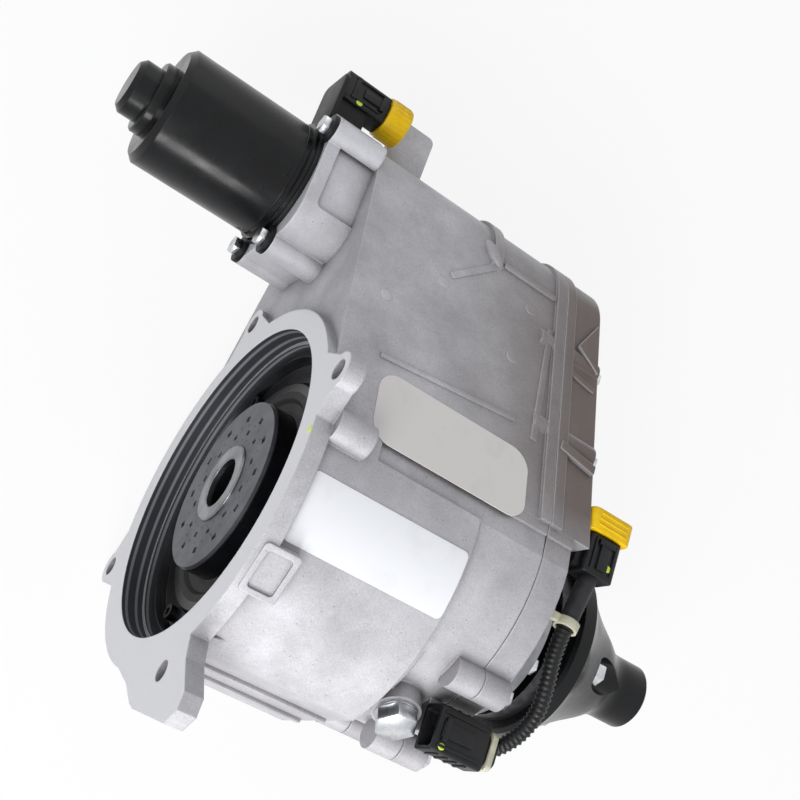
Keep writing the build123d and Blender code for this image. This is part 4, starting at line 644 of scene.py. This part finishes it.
def broken_edge_copy(node, name, material, body, width_mm, over_deg=30, segments=2):
    """A merged copy of a CAD node with its sharp edges rounded, which stands for that node."""
    shape = bmesh.new()
    shape.from_mesh(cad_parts[node].data)
    bmesh.ops.remove_doubles(shape, verts=shape.verts, dist=1e-6)
    bmesh.ops.dissolve_limit(shape, angle_limit=radians(0.6), verts=shape.verts, edges=shape.edges)
    round_edges(shape, width_mm, segments, over_deg)
    made = piece(name, shape, material, body)
    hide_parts(node)
    return made


zinc = plated("zinc_plated_steel", "D6D8DB", "ACAFB4", 0.27, 0.25)
oiled = plated("dark_oiled_steel", "4A4A4C", "2C2C2E", 0.36, 0.3)
ground = plated("ground_steel", "B9BABD", "94969A", 0.24, 0.2)
for node, screws, body, chamfer_mm in (
    ("cover_bolts", "cover_hex_screws", "housing", 0.5),
    ("motor_bolts", "motor_hex_screws", "housing", 0.5),
    ("fill_plug", "fill_plug_hex", "housing", 0.8),
    ("flange_bolts", "flange_hex_screws", "output", 0.5),
):
    broken_edge_copy(node, screws, zinc, body, chamfer_mm)
finish_as(zinc, "plug_washer")
finish_as(oiled, "cap_screws", "return_spring", "output_shaft")
finish_as(
    ground, "dowel_pins", "guide_pins", "idler_pin", "rotor_shaft", "clutch_hub", "ramp_ring",
    "pressure_plate", "steel_plates",
)


# Bell end: the input drum is turned from bar and oiled black, with a grey phosphated cover disc
# pressed in its mouth and a dull ring round the spline bore. The ring that holds it is black too.
def turned(name, bright, shade, roughness, pitch_mm, metallic=1.0):
    """Lathe-turned metal: fine rings round the axis at the tool's pitch, over a cloudy tone."""
    material, tree = new_material(name)
    here = add(tree, "ShaderNodeTexCoord").outputs["Object"]
    rings = add(
        tree, "ShaderNodeTexWave",
        {
            "wave_type": "RINGS", "rings_direction": "X", "Scale": wave_mm / pitch_mm,
            "Distortion": 0.3,
        },
        {"Vector": here},
    )
    bands = add(
        tree, "ShaderNodeTexWave",
        {
            "wave_type": "BANDS", "bands_direction": "X", "Scale": wave_mm / pitch_mm,
            "Distortion": 0.3,
        },
        {"Vector": here},
    )
    tool = add(
        tree, "ShaderNodeMath", {"operation": "ADD"},
        {0: rings.outputs["Fac"], 1: bands.outputs["Fac"]},
    )
    cloud = add(tree, "ShaderNodeTexNoise", {"Scale": 80.0, "Detail": 3.0}, {"Vector": here})
    cloud_step = add(
        tree, "ShaderNodeMapRange", {"From Min": 0.38, "From Max": 0.68},
        {"Value": cloud.outputs["Fac"]},
    )
    tone = add(
        tree, "ShaderNodeMix", {"data_type": "RGBA", 6: colour(bright), 7: colour(shade)},
        {0: cloud_step.outputs[0]},
    )
    dull = add(
        tree, "ShaderNodeMapRange",
        {"From Min": 0.0, "From Max": 2.0, "To Min": roughness - 0.05, "To Max": roughness + 0.06},
        {"Value": tool.outputs[0]},
    )
    rounded = add(tree, "ShaderNodeBevel", {"samples": 4, "Radius": 0.0005})
    relief = add(
        tree, "ShaderNodeBump", {"Strength": 0.3, "Distance": 0.00003},
        {"Height": tool.outputs[0], "Normal": rounded.outputs[0]},
    )
    metal = add(
        tree, "ShaderNodeBsdfPrincipled", {"Metallic": metallic},
        {"Base Color": tone.outputs[2], "Roughness": dull.outputs[0], "Normal": relief.outputs[0]},
    )
    add(tree, "ShaderNodeOutputMaterial", {}, {"Surface": metal.outputs[0]})
    return material


finish_as(turned("black_oiled_drum", "1E1F22", "141517", 0.3, 1.0, 0.6), "input_drum", "front_ring")
disc_grey = turned("phosphated_disc", "606167", "4B4C51", 0.46, 0.8, 0.5)
finish_as(disc_grey, "front_disc")
finish_as(turned("dull_turned_ring", "8E8F93", "6C6D71", 0.3, 0.6), "hub_ring", "bearing_retainer")
finish_as(
    plated("polished_bearing_steel", "D8D9DB", "B8BABD", 0.14, 0.2), "input_bearing",
    "output_bearing", "rear_thrust_bearing", "front_thrust_bearing", "ramp_balls",
)
finish_as(
    moulded("nitrile_rubber", "1B1B1C", "29292A", 0.6, 0.4, 0.03), "input_seal", "output_seal",
)


# Disc marks: the cover disc carries two rings of small pips between its holes, pressed up from
# behind. They are as grey as the disc and show only by their shade.
pips = bmesh.new()
pip_count = 24
disc_face_x = 0.00595
toward_mouth = Matrix.Rotation(radians(-90), 4, "Y")
for k in range(pip_count):
    spin_by = Matrix.Rotation(radians(360 / pip_count * (k + 0.5)), 4, "X")
    for radius, size in ((34.5, 0.9), (25.8, 0.7)):
        seat = spin_by @ Matrix.Translation((disc_face_x, radius / 1000, 0.0)) @ toward_mouth
        bmesh.ops.create_cone(
            pips, cap_ends=True, segments=12, radius1=size / 1000, radius2=size / 2000,
            depth=0.0005, matrix=seat,
        )
round_edges(pips, 0.12, 2)
piece("disc_pips", pips, disc_grey, "drum")


# Clutch and ball ramp, seen only when it is opened: paper-lined plates, bronze cage and bushes,
# hardened gears with ground flanks.
def fibrous(name, shade, fleck, thread_mm):
    """Resin-bonded paper or pressed carbon: short crossed threads over a matt body."""
    material, tree = new_material(name)
    here = add(tree, "ShaderNodeTexCoord").outputs["Object"]
    lay = add(tree, "ShaderNodeMapping", {"Scale": (1.0, 0.25, 1.0)}, {"Vector": here})
    thread = add(
        tree, "ShaderNodeTexNoise", {"Scale": 1000 / thread_mm, "Detail": 3.0},
        {"Vector": lay.outputs[0]},
    )
    step = add(
        tree, "ShaderNodeMapRange", {"From Min": 0.42, "From Max": 0.62},
        {"Value": thread.outputs["Fac"]},
    )
    tone = add(
        tree, "ShaderNodeMix", {"data_type": "RGBA", 6: colour(shade), 7: colour(fleck)},
        {0: step.outputs[0]},
    )
    relief = add(
        tree, "ShaderNodeBump", {"Strength": 0.6, "Distance": 0.00008},
        {"Height": thread.outputs["Fac"]},
    )
    body = add(
        tree, "ShaderNodeBsdfPrincipled", {"Roughness": 0.88, "IOR": 1.5},
        {"Base Color": tone.outputs[2], "Normal": relief.outputs[0]},
    )
    add(tree, "ShaderNodeOutputMaterial", {}, {"Surface": body.outputs[0]})
    return material


finish_as(fibrous("paper_friction_lining", "5B4230", "7A5E45", 0.6), "friction_plates")
finish_as(fibrous("pressed_carbon", "26262A", "3A3A3E", 0.4), "motor_brushes")
finish_as(
    plated("sintered_bronze", "B98B4E", "8F6634", 0.38, 0.35), "ball_cage", "nose_bush",
    "motor_bushes",
)
finish_as(plated("drawn_copper", "C47A55", "9E5A3B", 0.28, 0.3), "commutator", "contact_pins")
finish_as(
    turned("hardened_gear_steel", "9A9894", "7C7A76", 0.28, 0.5), "idler_gear", "step_gear",
    "step_shaft", "cam_ring",
)


# Output flange: a drop-forged steel flange in glossy black enamel with a haze of settled dust. Its
# flare narrows down to the tip that takes the propeller shaft.
def black_paint(name, shade, haze, roughness, peel_mm, coat):
    """Sprayed or dipped black enamel: deep gloss, a slight orange peel and settled dust."""
    material, tree = new_material(name)
    here = add(tree, "ShaderNodeTexCoord").outputs["Object"]
    peel = add(
        tree, "ShaderNodeTexNoise", {"Scale": 1000 / peel_mm, "Detail": 1.0}, {"Vector": here},
    )
    haze_map = add(
        tree, "ShaderNodeTexNoise", {"Scale": 45.0, "Detail": 4.0, "Roughness": 0.65},
        {"Vector": here},
    )
    dust = add(tree, "ShaderNodeTexVoronoi", {"Scale": 420.0}, {"Vector": here})
    dust_step = add(
        tree, "ShaderNodeMapRange",
        {"From Min": 0.03, "From Max": 0.09, "To Min": 0.35, "To Max": 0.0},
        {"Value": dust.outputs["Distance"]},
    )
    haze_step = add(
        tree, "ShaderNodeMapRange", {"From Min": 0.4, "From Max": 0.72},
        {"Value": haze_map.outputs["Fac"]},
    )
    tone = add(
        tree, "ShaderNodeMix", {"data_type": "RGBA", 6: colour(shade), 7: colour(haze)},
        {0: haze_step.outputs[0]},
    )
    dusty = add(
        tree, "ShaderNodeMix", {"data_type": "RGBA", 7: colour("5A5A5C")},
        {0: dust_step.outputs[0], 6: tone.outputs[2]},
    )
    dull = add(
        tree, "ShaderNodeMapRange",
        {"From Min": 0.3, "From Max": 0.75, "To Min": roughness - 0.06, "To Max": roughness + 0.12},
        {"Value": haze_map.outputs["Fac"]},
    )
    rounded = add(tree, "ShaderNodeBevel", {"samples": 4, "Radius": 0.0008})
    relief = add(
        tree, "ShaderNodeBump", {"Strength": 0.35, "Distance": 0.00006},
        {"Height": peel.outputs["Fac"], "Normal": rounded.outputs[0]},
    )
    paint = add(
        tree, "ShaderNodeBsdfPrincipled",
        {"IOR": 1.5, "Specular IOR Level": 0.22, "Coat Weight": coat, "Coat Roughness": 0.14},
        {"Base Color": dusty.outputs[2], "Roughness": dull.outputs[0], "Normal": relief.outputs[0]},
    )
    add(tree, "ShaderNodeOutputMaterial", {}, {"Surface": paint.outputs[0]})
    return material


enamel = black_paint("glossy_black_enamel", "060709", "0C0E11", 0.25, 2.2, 0.05)
finish_as(enamel, "output_flange", "motor_can")


# Motor: a deep-drawn steel can painted glossy black, with a rolled bead by its mouth, a formed
# shoulder before the end bush and four staking marks. It is screwed on through a black plate.
plate_paint = black_paint("satin_black_plate", "0B0C0E", "141518", 0.42, 1.2, 0.0)
finish_as(plate_paint, "connector_bracket")
broken_edge_copy("motor_plate", "motor_mount_plate", plate_paint, "housing", 0.5)

motor_y = 0.176
can_wall_mm = 35.2


def hoop(shape, x_mm, radius_mm, wire_mm):
    """A round wire ring about the motor's axis, spun from its section."""
    seat = Matrix.Translation((x_mm / 1000, motor_y + radius_mm / 1000, 0.0))
    section = bmesh.ops.create_circle(shape, segments=12, radius=wire_mm / 1000, matrix=seat)
    edges = list({e for v in section["verts"] for e in v.link_edges})
    bmesh.ops.spin(
        shape, geom=section["verts"] + edges, cent=(0.0, motor_y, 0.0), axis=(1.0, 0.0, 0.0),
        angle=2 * pi, steps=96, use_merge=True,
    )


beads = bmesh.new()
hoop(beads, -35.6, can_wall_mm, 0.8)
hoop(beads, -104.0, 34.9, 0.6)
bmesh.ops.remove_doubles(beads, verts=beads.verts, dist=1e-6)
piece("motor_can_beads", beads, enamel, "housing")

stakes = bmesh.new()
for deg in (20, 110, 200, 290):
    turn = Matrix.Translation((-0.0395, motor_y, 0.0)) @ Matrix.Rotation(radians(deg), 4, "X")
    seat = turn @ Matrix.Translation((0.0, can_wall_mm / 1000, 0.0))
    bmesh.ops.create_cube(stakes, size=0.001, matrix=seat @ Matrix.Diagonal((3.0, 1.4, 6.0, 1.0)))
round_edges(stakes, 0.5, 3)
piece("motor_stakes", stakes, enamel, "housing")

finish_as(plated("stacked_lamination", "8C8A86", "6A6864", 0.4, 0.5), "rotor_core")
finish_as(plated("sintered_magnet", "3E3D3D", "2A2929", 0.5, 0.4), "motor_magnets")


# Connectors: glass-filled black nylon shells with latch ramps, keys and thin ribs, moulded in one
# with the body. The brush holder behind the motor's plate is the same material.
nylon = moulded("black_glass_nylon", "0C0D0F", "18191C", 0.45, 0.35, 0.03)
finish_as(nylon, "brush_holder")
for node, shell in (
    ("upper_connector", "motor_connector_shell"),
    ("lower_connector", "rear_connector_shell"),
    ("tail_connector", "tail_connector_shell"),
):
    broken_edge_copy(node, shell, nylon, "housing", 0.7)


def block(shape, centre_mm, size_mm):
    """A small moulded block by its middle and its three sides."""
    seat = Matrix.Translation(Vector(centre_mm) / 1000) @ Matrix.Diagonal((*size_mm, 1.0))
    bmesh.ops.create_cube(shape, size=0.001, matrix=seat)


latches = bmesh.new()
motor_plug_y, rear_plug_x, tail_plug_y = 240.0, 191.5, -82.0
block(latches, (-8.0, motor_plug_y, 29.0), (13.0, 6.0, 1.6))
block(latches, (-1.5, motor_plug_y, 29.4), (3.0, 9.0, 2.2))
block(latches, (-20.0, motor_plug_y, 28.9), (3.0, 15.0, 1.2))
block(latches, (rear_plug_x, 33.0, 88.6), (7.0, 15.0, 1.8))
block(latches, (rear_plug_x, 41.0, 89.0), (11.0, 3.0, 2.2))
block(latches, (150.0, tail_plug_y, 66.7), (20.0, 8.0, 1.8))
block(latches, (142.0, tail_plug_y, 67.1), (3.0, 12.0, 2.4))
for side in (-1, 1):
    block(latches, (-12.0, motor_plug_y + side * 6.2, 28.9), (20.0, 1.2, 1.4))
    block(latches, (rear_plug_x + side * 7.0, 34.0, 88.4), (1.4, 18.0, 1.4))
    block(latches, (rear_plug_x + side * 11.3, 34.0, 80.0), (1.2, 16.0, 7.0))
    block(latches, (153.0, tail_plug_y + side * 8.5, 66.4), (28.0, 1.4, 1.2))
    for k in range(4):
        block(latches, (143.0 + 6.0 * k, tail_plug_y + side * 12.2, 58.0), (2.0, 1.0, 11.0))
round_edges(latches, 0.35, 2)
piece("connector_latches", latches, nylon, "housing")


# Dust caps: yellow polypropylene, pulled off before the plugs go in. The round one has finger
# ribs round its wall, the flat one has ribs across its broad faces.
cap_yellow = moulded("yellow_polypropylene", "F7CC02", "EBBB00", 0.36, 0.6, 0.02, 0.1)
broken_edge_copy(
    "upper_cap", "motor_dust_cap", cap_yellow, "motor_plug_cap", 0.9, 30, 3,
)
broken_edge_copy(
    "lower_cap", "rear_dust_cap", cap_yellow, "rear_plug_cap", 0.9, 30, 3,
)

cap_low, cap_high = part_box("upper_cap")
cap_middle = (cap_low + cap_high) / 2 + Vector((0.0005, 0.0, 0.0))
cap_wall_r = 0.0124
rib_count = 28
rib_size = Matrix.Diagonal((11.0, 0.9, 1.1, 1.0))
finger_ribs = bmesh.new()
for k in range(rib_count):
    turn = Matrix.Translation(cap_middle) @ Matrix.Rotation(2 * pi / rib_count * k, 4, "X")
    seat = turn @ Matrix.Translation((0.0, cap_wall_r, 0.0))
    bmesh.ops.create_cube(finger_ribs, size=0.001, matrix=seat @ rib_size)
round_edges(finger_ribs, 0.3, 2)
piece("motor_cap_ribs", finger_ribs, cap_yellow, "motor_plug_cap")

flat_low, flat_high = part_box("lower_cap")
grips = bmesh.new()
first_grip, grip_pitch = 0.004, 0.0032
for k in range(3):
    y = (flat_low.y + first_grip + grip_pitch * k) * 1000
    for face_z in (flat_low.z, flat_high.z):
        block(grips, ((flat_low.x + flat_high.x) * 500, y, face_z * 1000), (20.0, 1.2, 0.8))
round_edges(grips, 0.3, 2)
piece("rear_cap_ribs", grips, cap_yellow, "rear_plug_cap")


# Harness: a smooth rubber sleeve below the rear plug, then corrugated nylon tube to the tail plug
# on the barrel's side, held by pale clips. The tube is bridged ring by ring along one centre line.
finish_as(moulded("rubber_sleeve", "222224", "303032", 0.55, 0.5, 0.04), "sleeve")
clip_resin = moulded("natural_nylon", "C9C6B0", "B3AF98", 0.4, 0.5, 0.02, 0.1)
broken_edge_copy("harness_clips", "harness_clip_bands", clip_resin, "housing", 0.3)

route_mm = (
    (185.5, -9.0, 80.0), (182.87, -23.01, 80.0), (184.5, -40.0, 79.5), (187.0, -55.0, 75.5),
    (186.0, -67.0, 68.0), (181.0, -76.0, 61.5), (174.0, -81.0, 58.5), (168.0, -82.0, 58.0),
)
centre_curve = bpy.data.curves.new("tube_centre", "CURVE")
centre_curve.dimensions = "3D"
centre_curve.resolution_u = 40
spline = centre_curve.splines.new("NURBS")
spline.points.add(len(route_mm) - 1)
for point, spot in zip(spline.points, route_mm):
    point.co = (*(Vector(spot) / 1000), 1.0)
spline.order_u = 3
spline.use_endpoint_u = True
centre_line = bpy.data.objects.new("tube_centre", centre_curve)
sampled = bpy.data.meshes.new_from_object(centre_line)
trail = [v.co.copy() for v in sampled.vertices]
bpy.data.objects.remove(centre_line)
bpy.data.meshes.remove(sampled)


def spaced(points, step):
    """Points at an even step along a line of points."""
    placed = [points[0]]
    left = step
    for before, after in zip(points, points[1:]):
        run = after - before
        gone = 0.0
        while run.length - gone >= left:
            gone += left
            placed.append(before + run.normalized() * gone)
            left = step
        left -= run.length - gone
    return placed


ring_pitch = 0.0028
stations = spaced(trail, ring_pitch / 4)  # four sections to a ring, as in profile
crest_r, shoulder_r, valley_r = 0.0046, 0.0045, 0.0038
profile = (crest_r, shoulder_r, valley_r, valley_r)
tube = bmesh.new()
last_edges = None
normal = Vector((0.0, 0.0, 1.0))
for k, spot in enumerate(stations):
    heading = (stations[min(k + 1, len(stations) - 1)] - stations[max(k - 1, 0)]).normalized()
    normal = (normal - heading * normal.dot(heading)).normalized()
    turn = Matrix((normal, heading.cross(normal), heading)).transposed().to_4x4()
    ring = bmesh.ops.create_circle(
        tube, segments=28, radius=profile[k % len(profile)], matrix=Matrix.Translation(spot) @ turn
    )
    edges = list({e for v in ring["verts"] for e in v.link_edges})
    if last_edges:
        bmesh.ops.bridge_loops(tube, edges=last_edges + edges)
    last_edges = edges
conduit_nylon = moulded("corrugated_black_nylon", "0D0E0F", "18191B", 0.4, 0.8, 0.02)
corrugated = piece("corrugated_tube", tube, conduit_nylon, "housing", 60)
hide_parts("conduit")


# Inspection dabs: the fitter's lime paint on each joint that was checked, brushed on as a thick
# drop that dried with a raised rim.
lime, tree = new_material("lime_inspection_paint")
here = add(tree, "ShaderNodeTexCoord").outputs["Object"]
streak = add(tree, "ShaderNodeTexNoise", {"Scale": 900.0, "Detail": 2.0}, {"Vector": here})
tone = add(
    tree, "ShaderNodeMix", {"data_type": "RGBA", 6: colour("C8E63A"), 7: colour("E0F25E")},
    {0: streak.outputs["Fac"]},
)
drag = add(
    tree, "ShaderNodeBump", {"Strength": 0.5, "Distance": 0.0001},
    {"Height": streak.outputs["Fac"]},
)
dried = add(
    tree, "ShaderNodeBsdfPrincipled", {"Roughness": 0.45, "IOR": 1.48},
    {"Base Color": tone.outputs[2], "Normal": drag.outputs[0]},
)
add(tree, "ShaderNodeOutputMaterial", {}, {"Surface": dried.outputs[0]})
dabs = bmesh.new()
oval = Matrix.Diagonal((1.0, 0.82, 1.0, 1.0))
for spot, way, size in (
    ((0.0, 8.5, 102.2), (-1, 0, 0), 2.4), ((-15.0, 232.6, 28.5), (0, 0, 1), 2.3),
    ((196.3, 29.0, 88.0), (0, 0, 1), 2.6), ((142.6, -90.6, 66.0), (0, 0, 1), 2.4),
):
    bmesh.ops.create_cone(
        dabs, cap_ends=True, segments=20, radius1=size / 1000, radius2=size / 1250, depth=0.0005,
        matrix=seat_on(spot, way) @ oval,
    )
round_edges(dabs, 0.18, 3)
piece("inspection_dabs", dabs, lime, "housing")


# Labels: two stickers left bare, a white film round the barrel and an off-white one on the arm.
# The film has a satin face, a faint ripple where it bridges the cast grain, and soiled patches.
def label_film(name, face, soil, ripple_mm):
    """Printable film without print: a clean face, soiled in patches, and a slow ripple."""
    material, tree = new_material(name)
    here = add(tree, "ShaderNodeTexCoord").outputs["Object"]
    ripple = add(
        tree, "ShaderNodeTexNoise", {"Scale": 1000 / ripple_mm, "Detail": 2.0}, {"Vector": here},
    )
    soiling = add(tree, "ShaderNodeTexNoise", {"Scale": 60.0, "Detail": 4.0}, {"Vector": here})
    step = add(
        tree, "ShaderNodeMapRange", {"From Min": 0.55, "From Max": 0.8, "To Max": 0.5},
        {"Value": soiling.outputs["Fac"]},
    )
    tone = add(
        tree, "ShaderNodeMix", {"data_type": "RGBA", 6: colour(face), 7: colour(soil)},
        {0: step.outputs[0]},
    )
    relief = add(
        tree, "ShaderNodeBump", {"Strength": 0.25, "Distance": 0.0001},
        {"Height": ripple.outputs["Fac"]},
    )
    film = add(
        tree, "ShaderNodeBsdfPrincipled", {"Roughness": 0.42, "IOR": 1.5},
        {"Base Color": tone.outputs[2], "Normal": relief.outputs[0]},
    )
    add(tree, "ShaderNodeOutputMaterial", {}, {"Surface": film.outputs[0]})
    return material


finish_as(label_film("white_label_film", "F0F1F4", "DEDEDE", 5.0), "barrel_label")
finish_as(label_film("cream_label_film", "F0EAE6", "DDD5CF", 6.0), "arm_label")
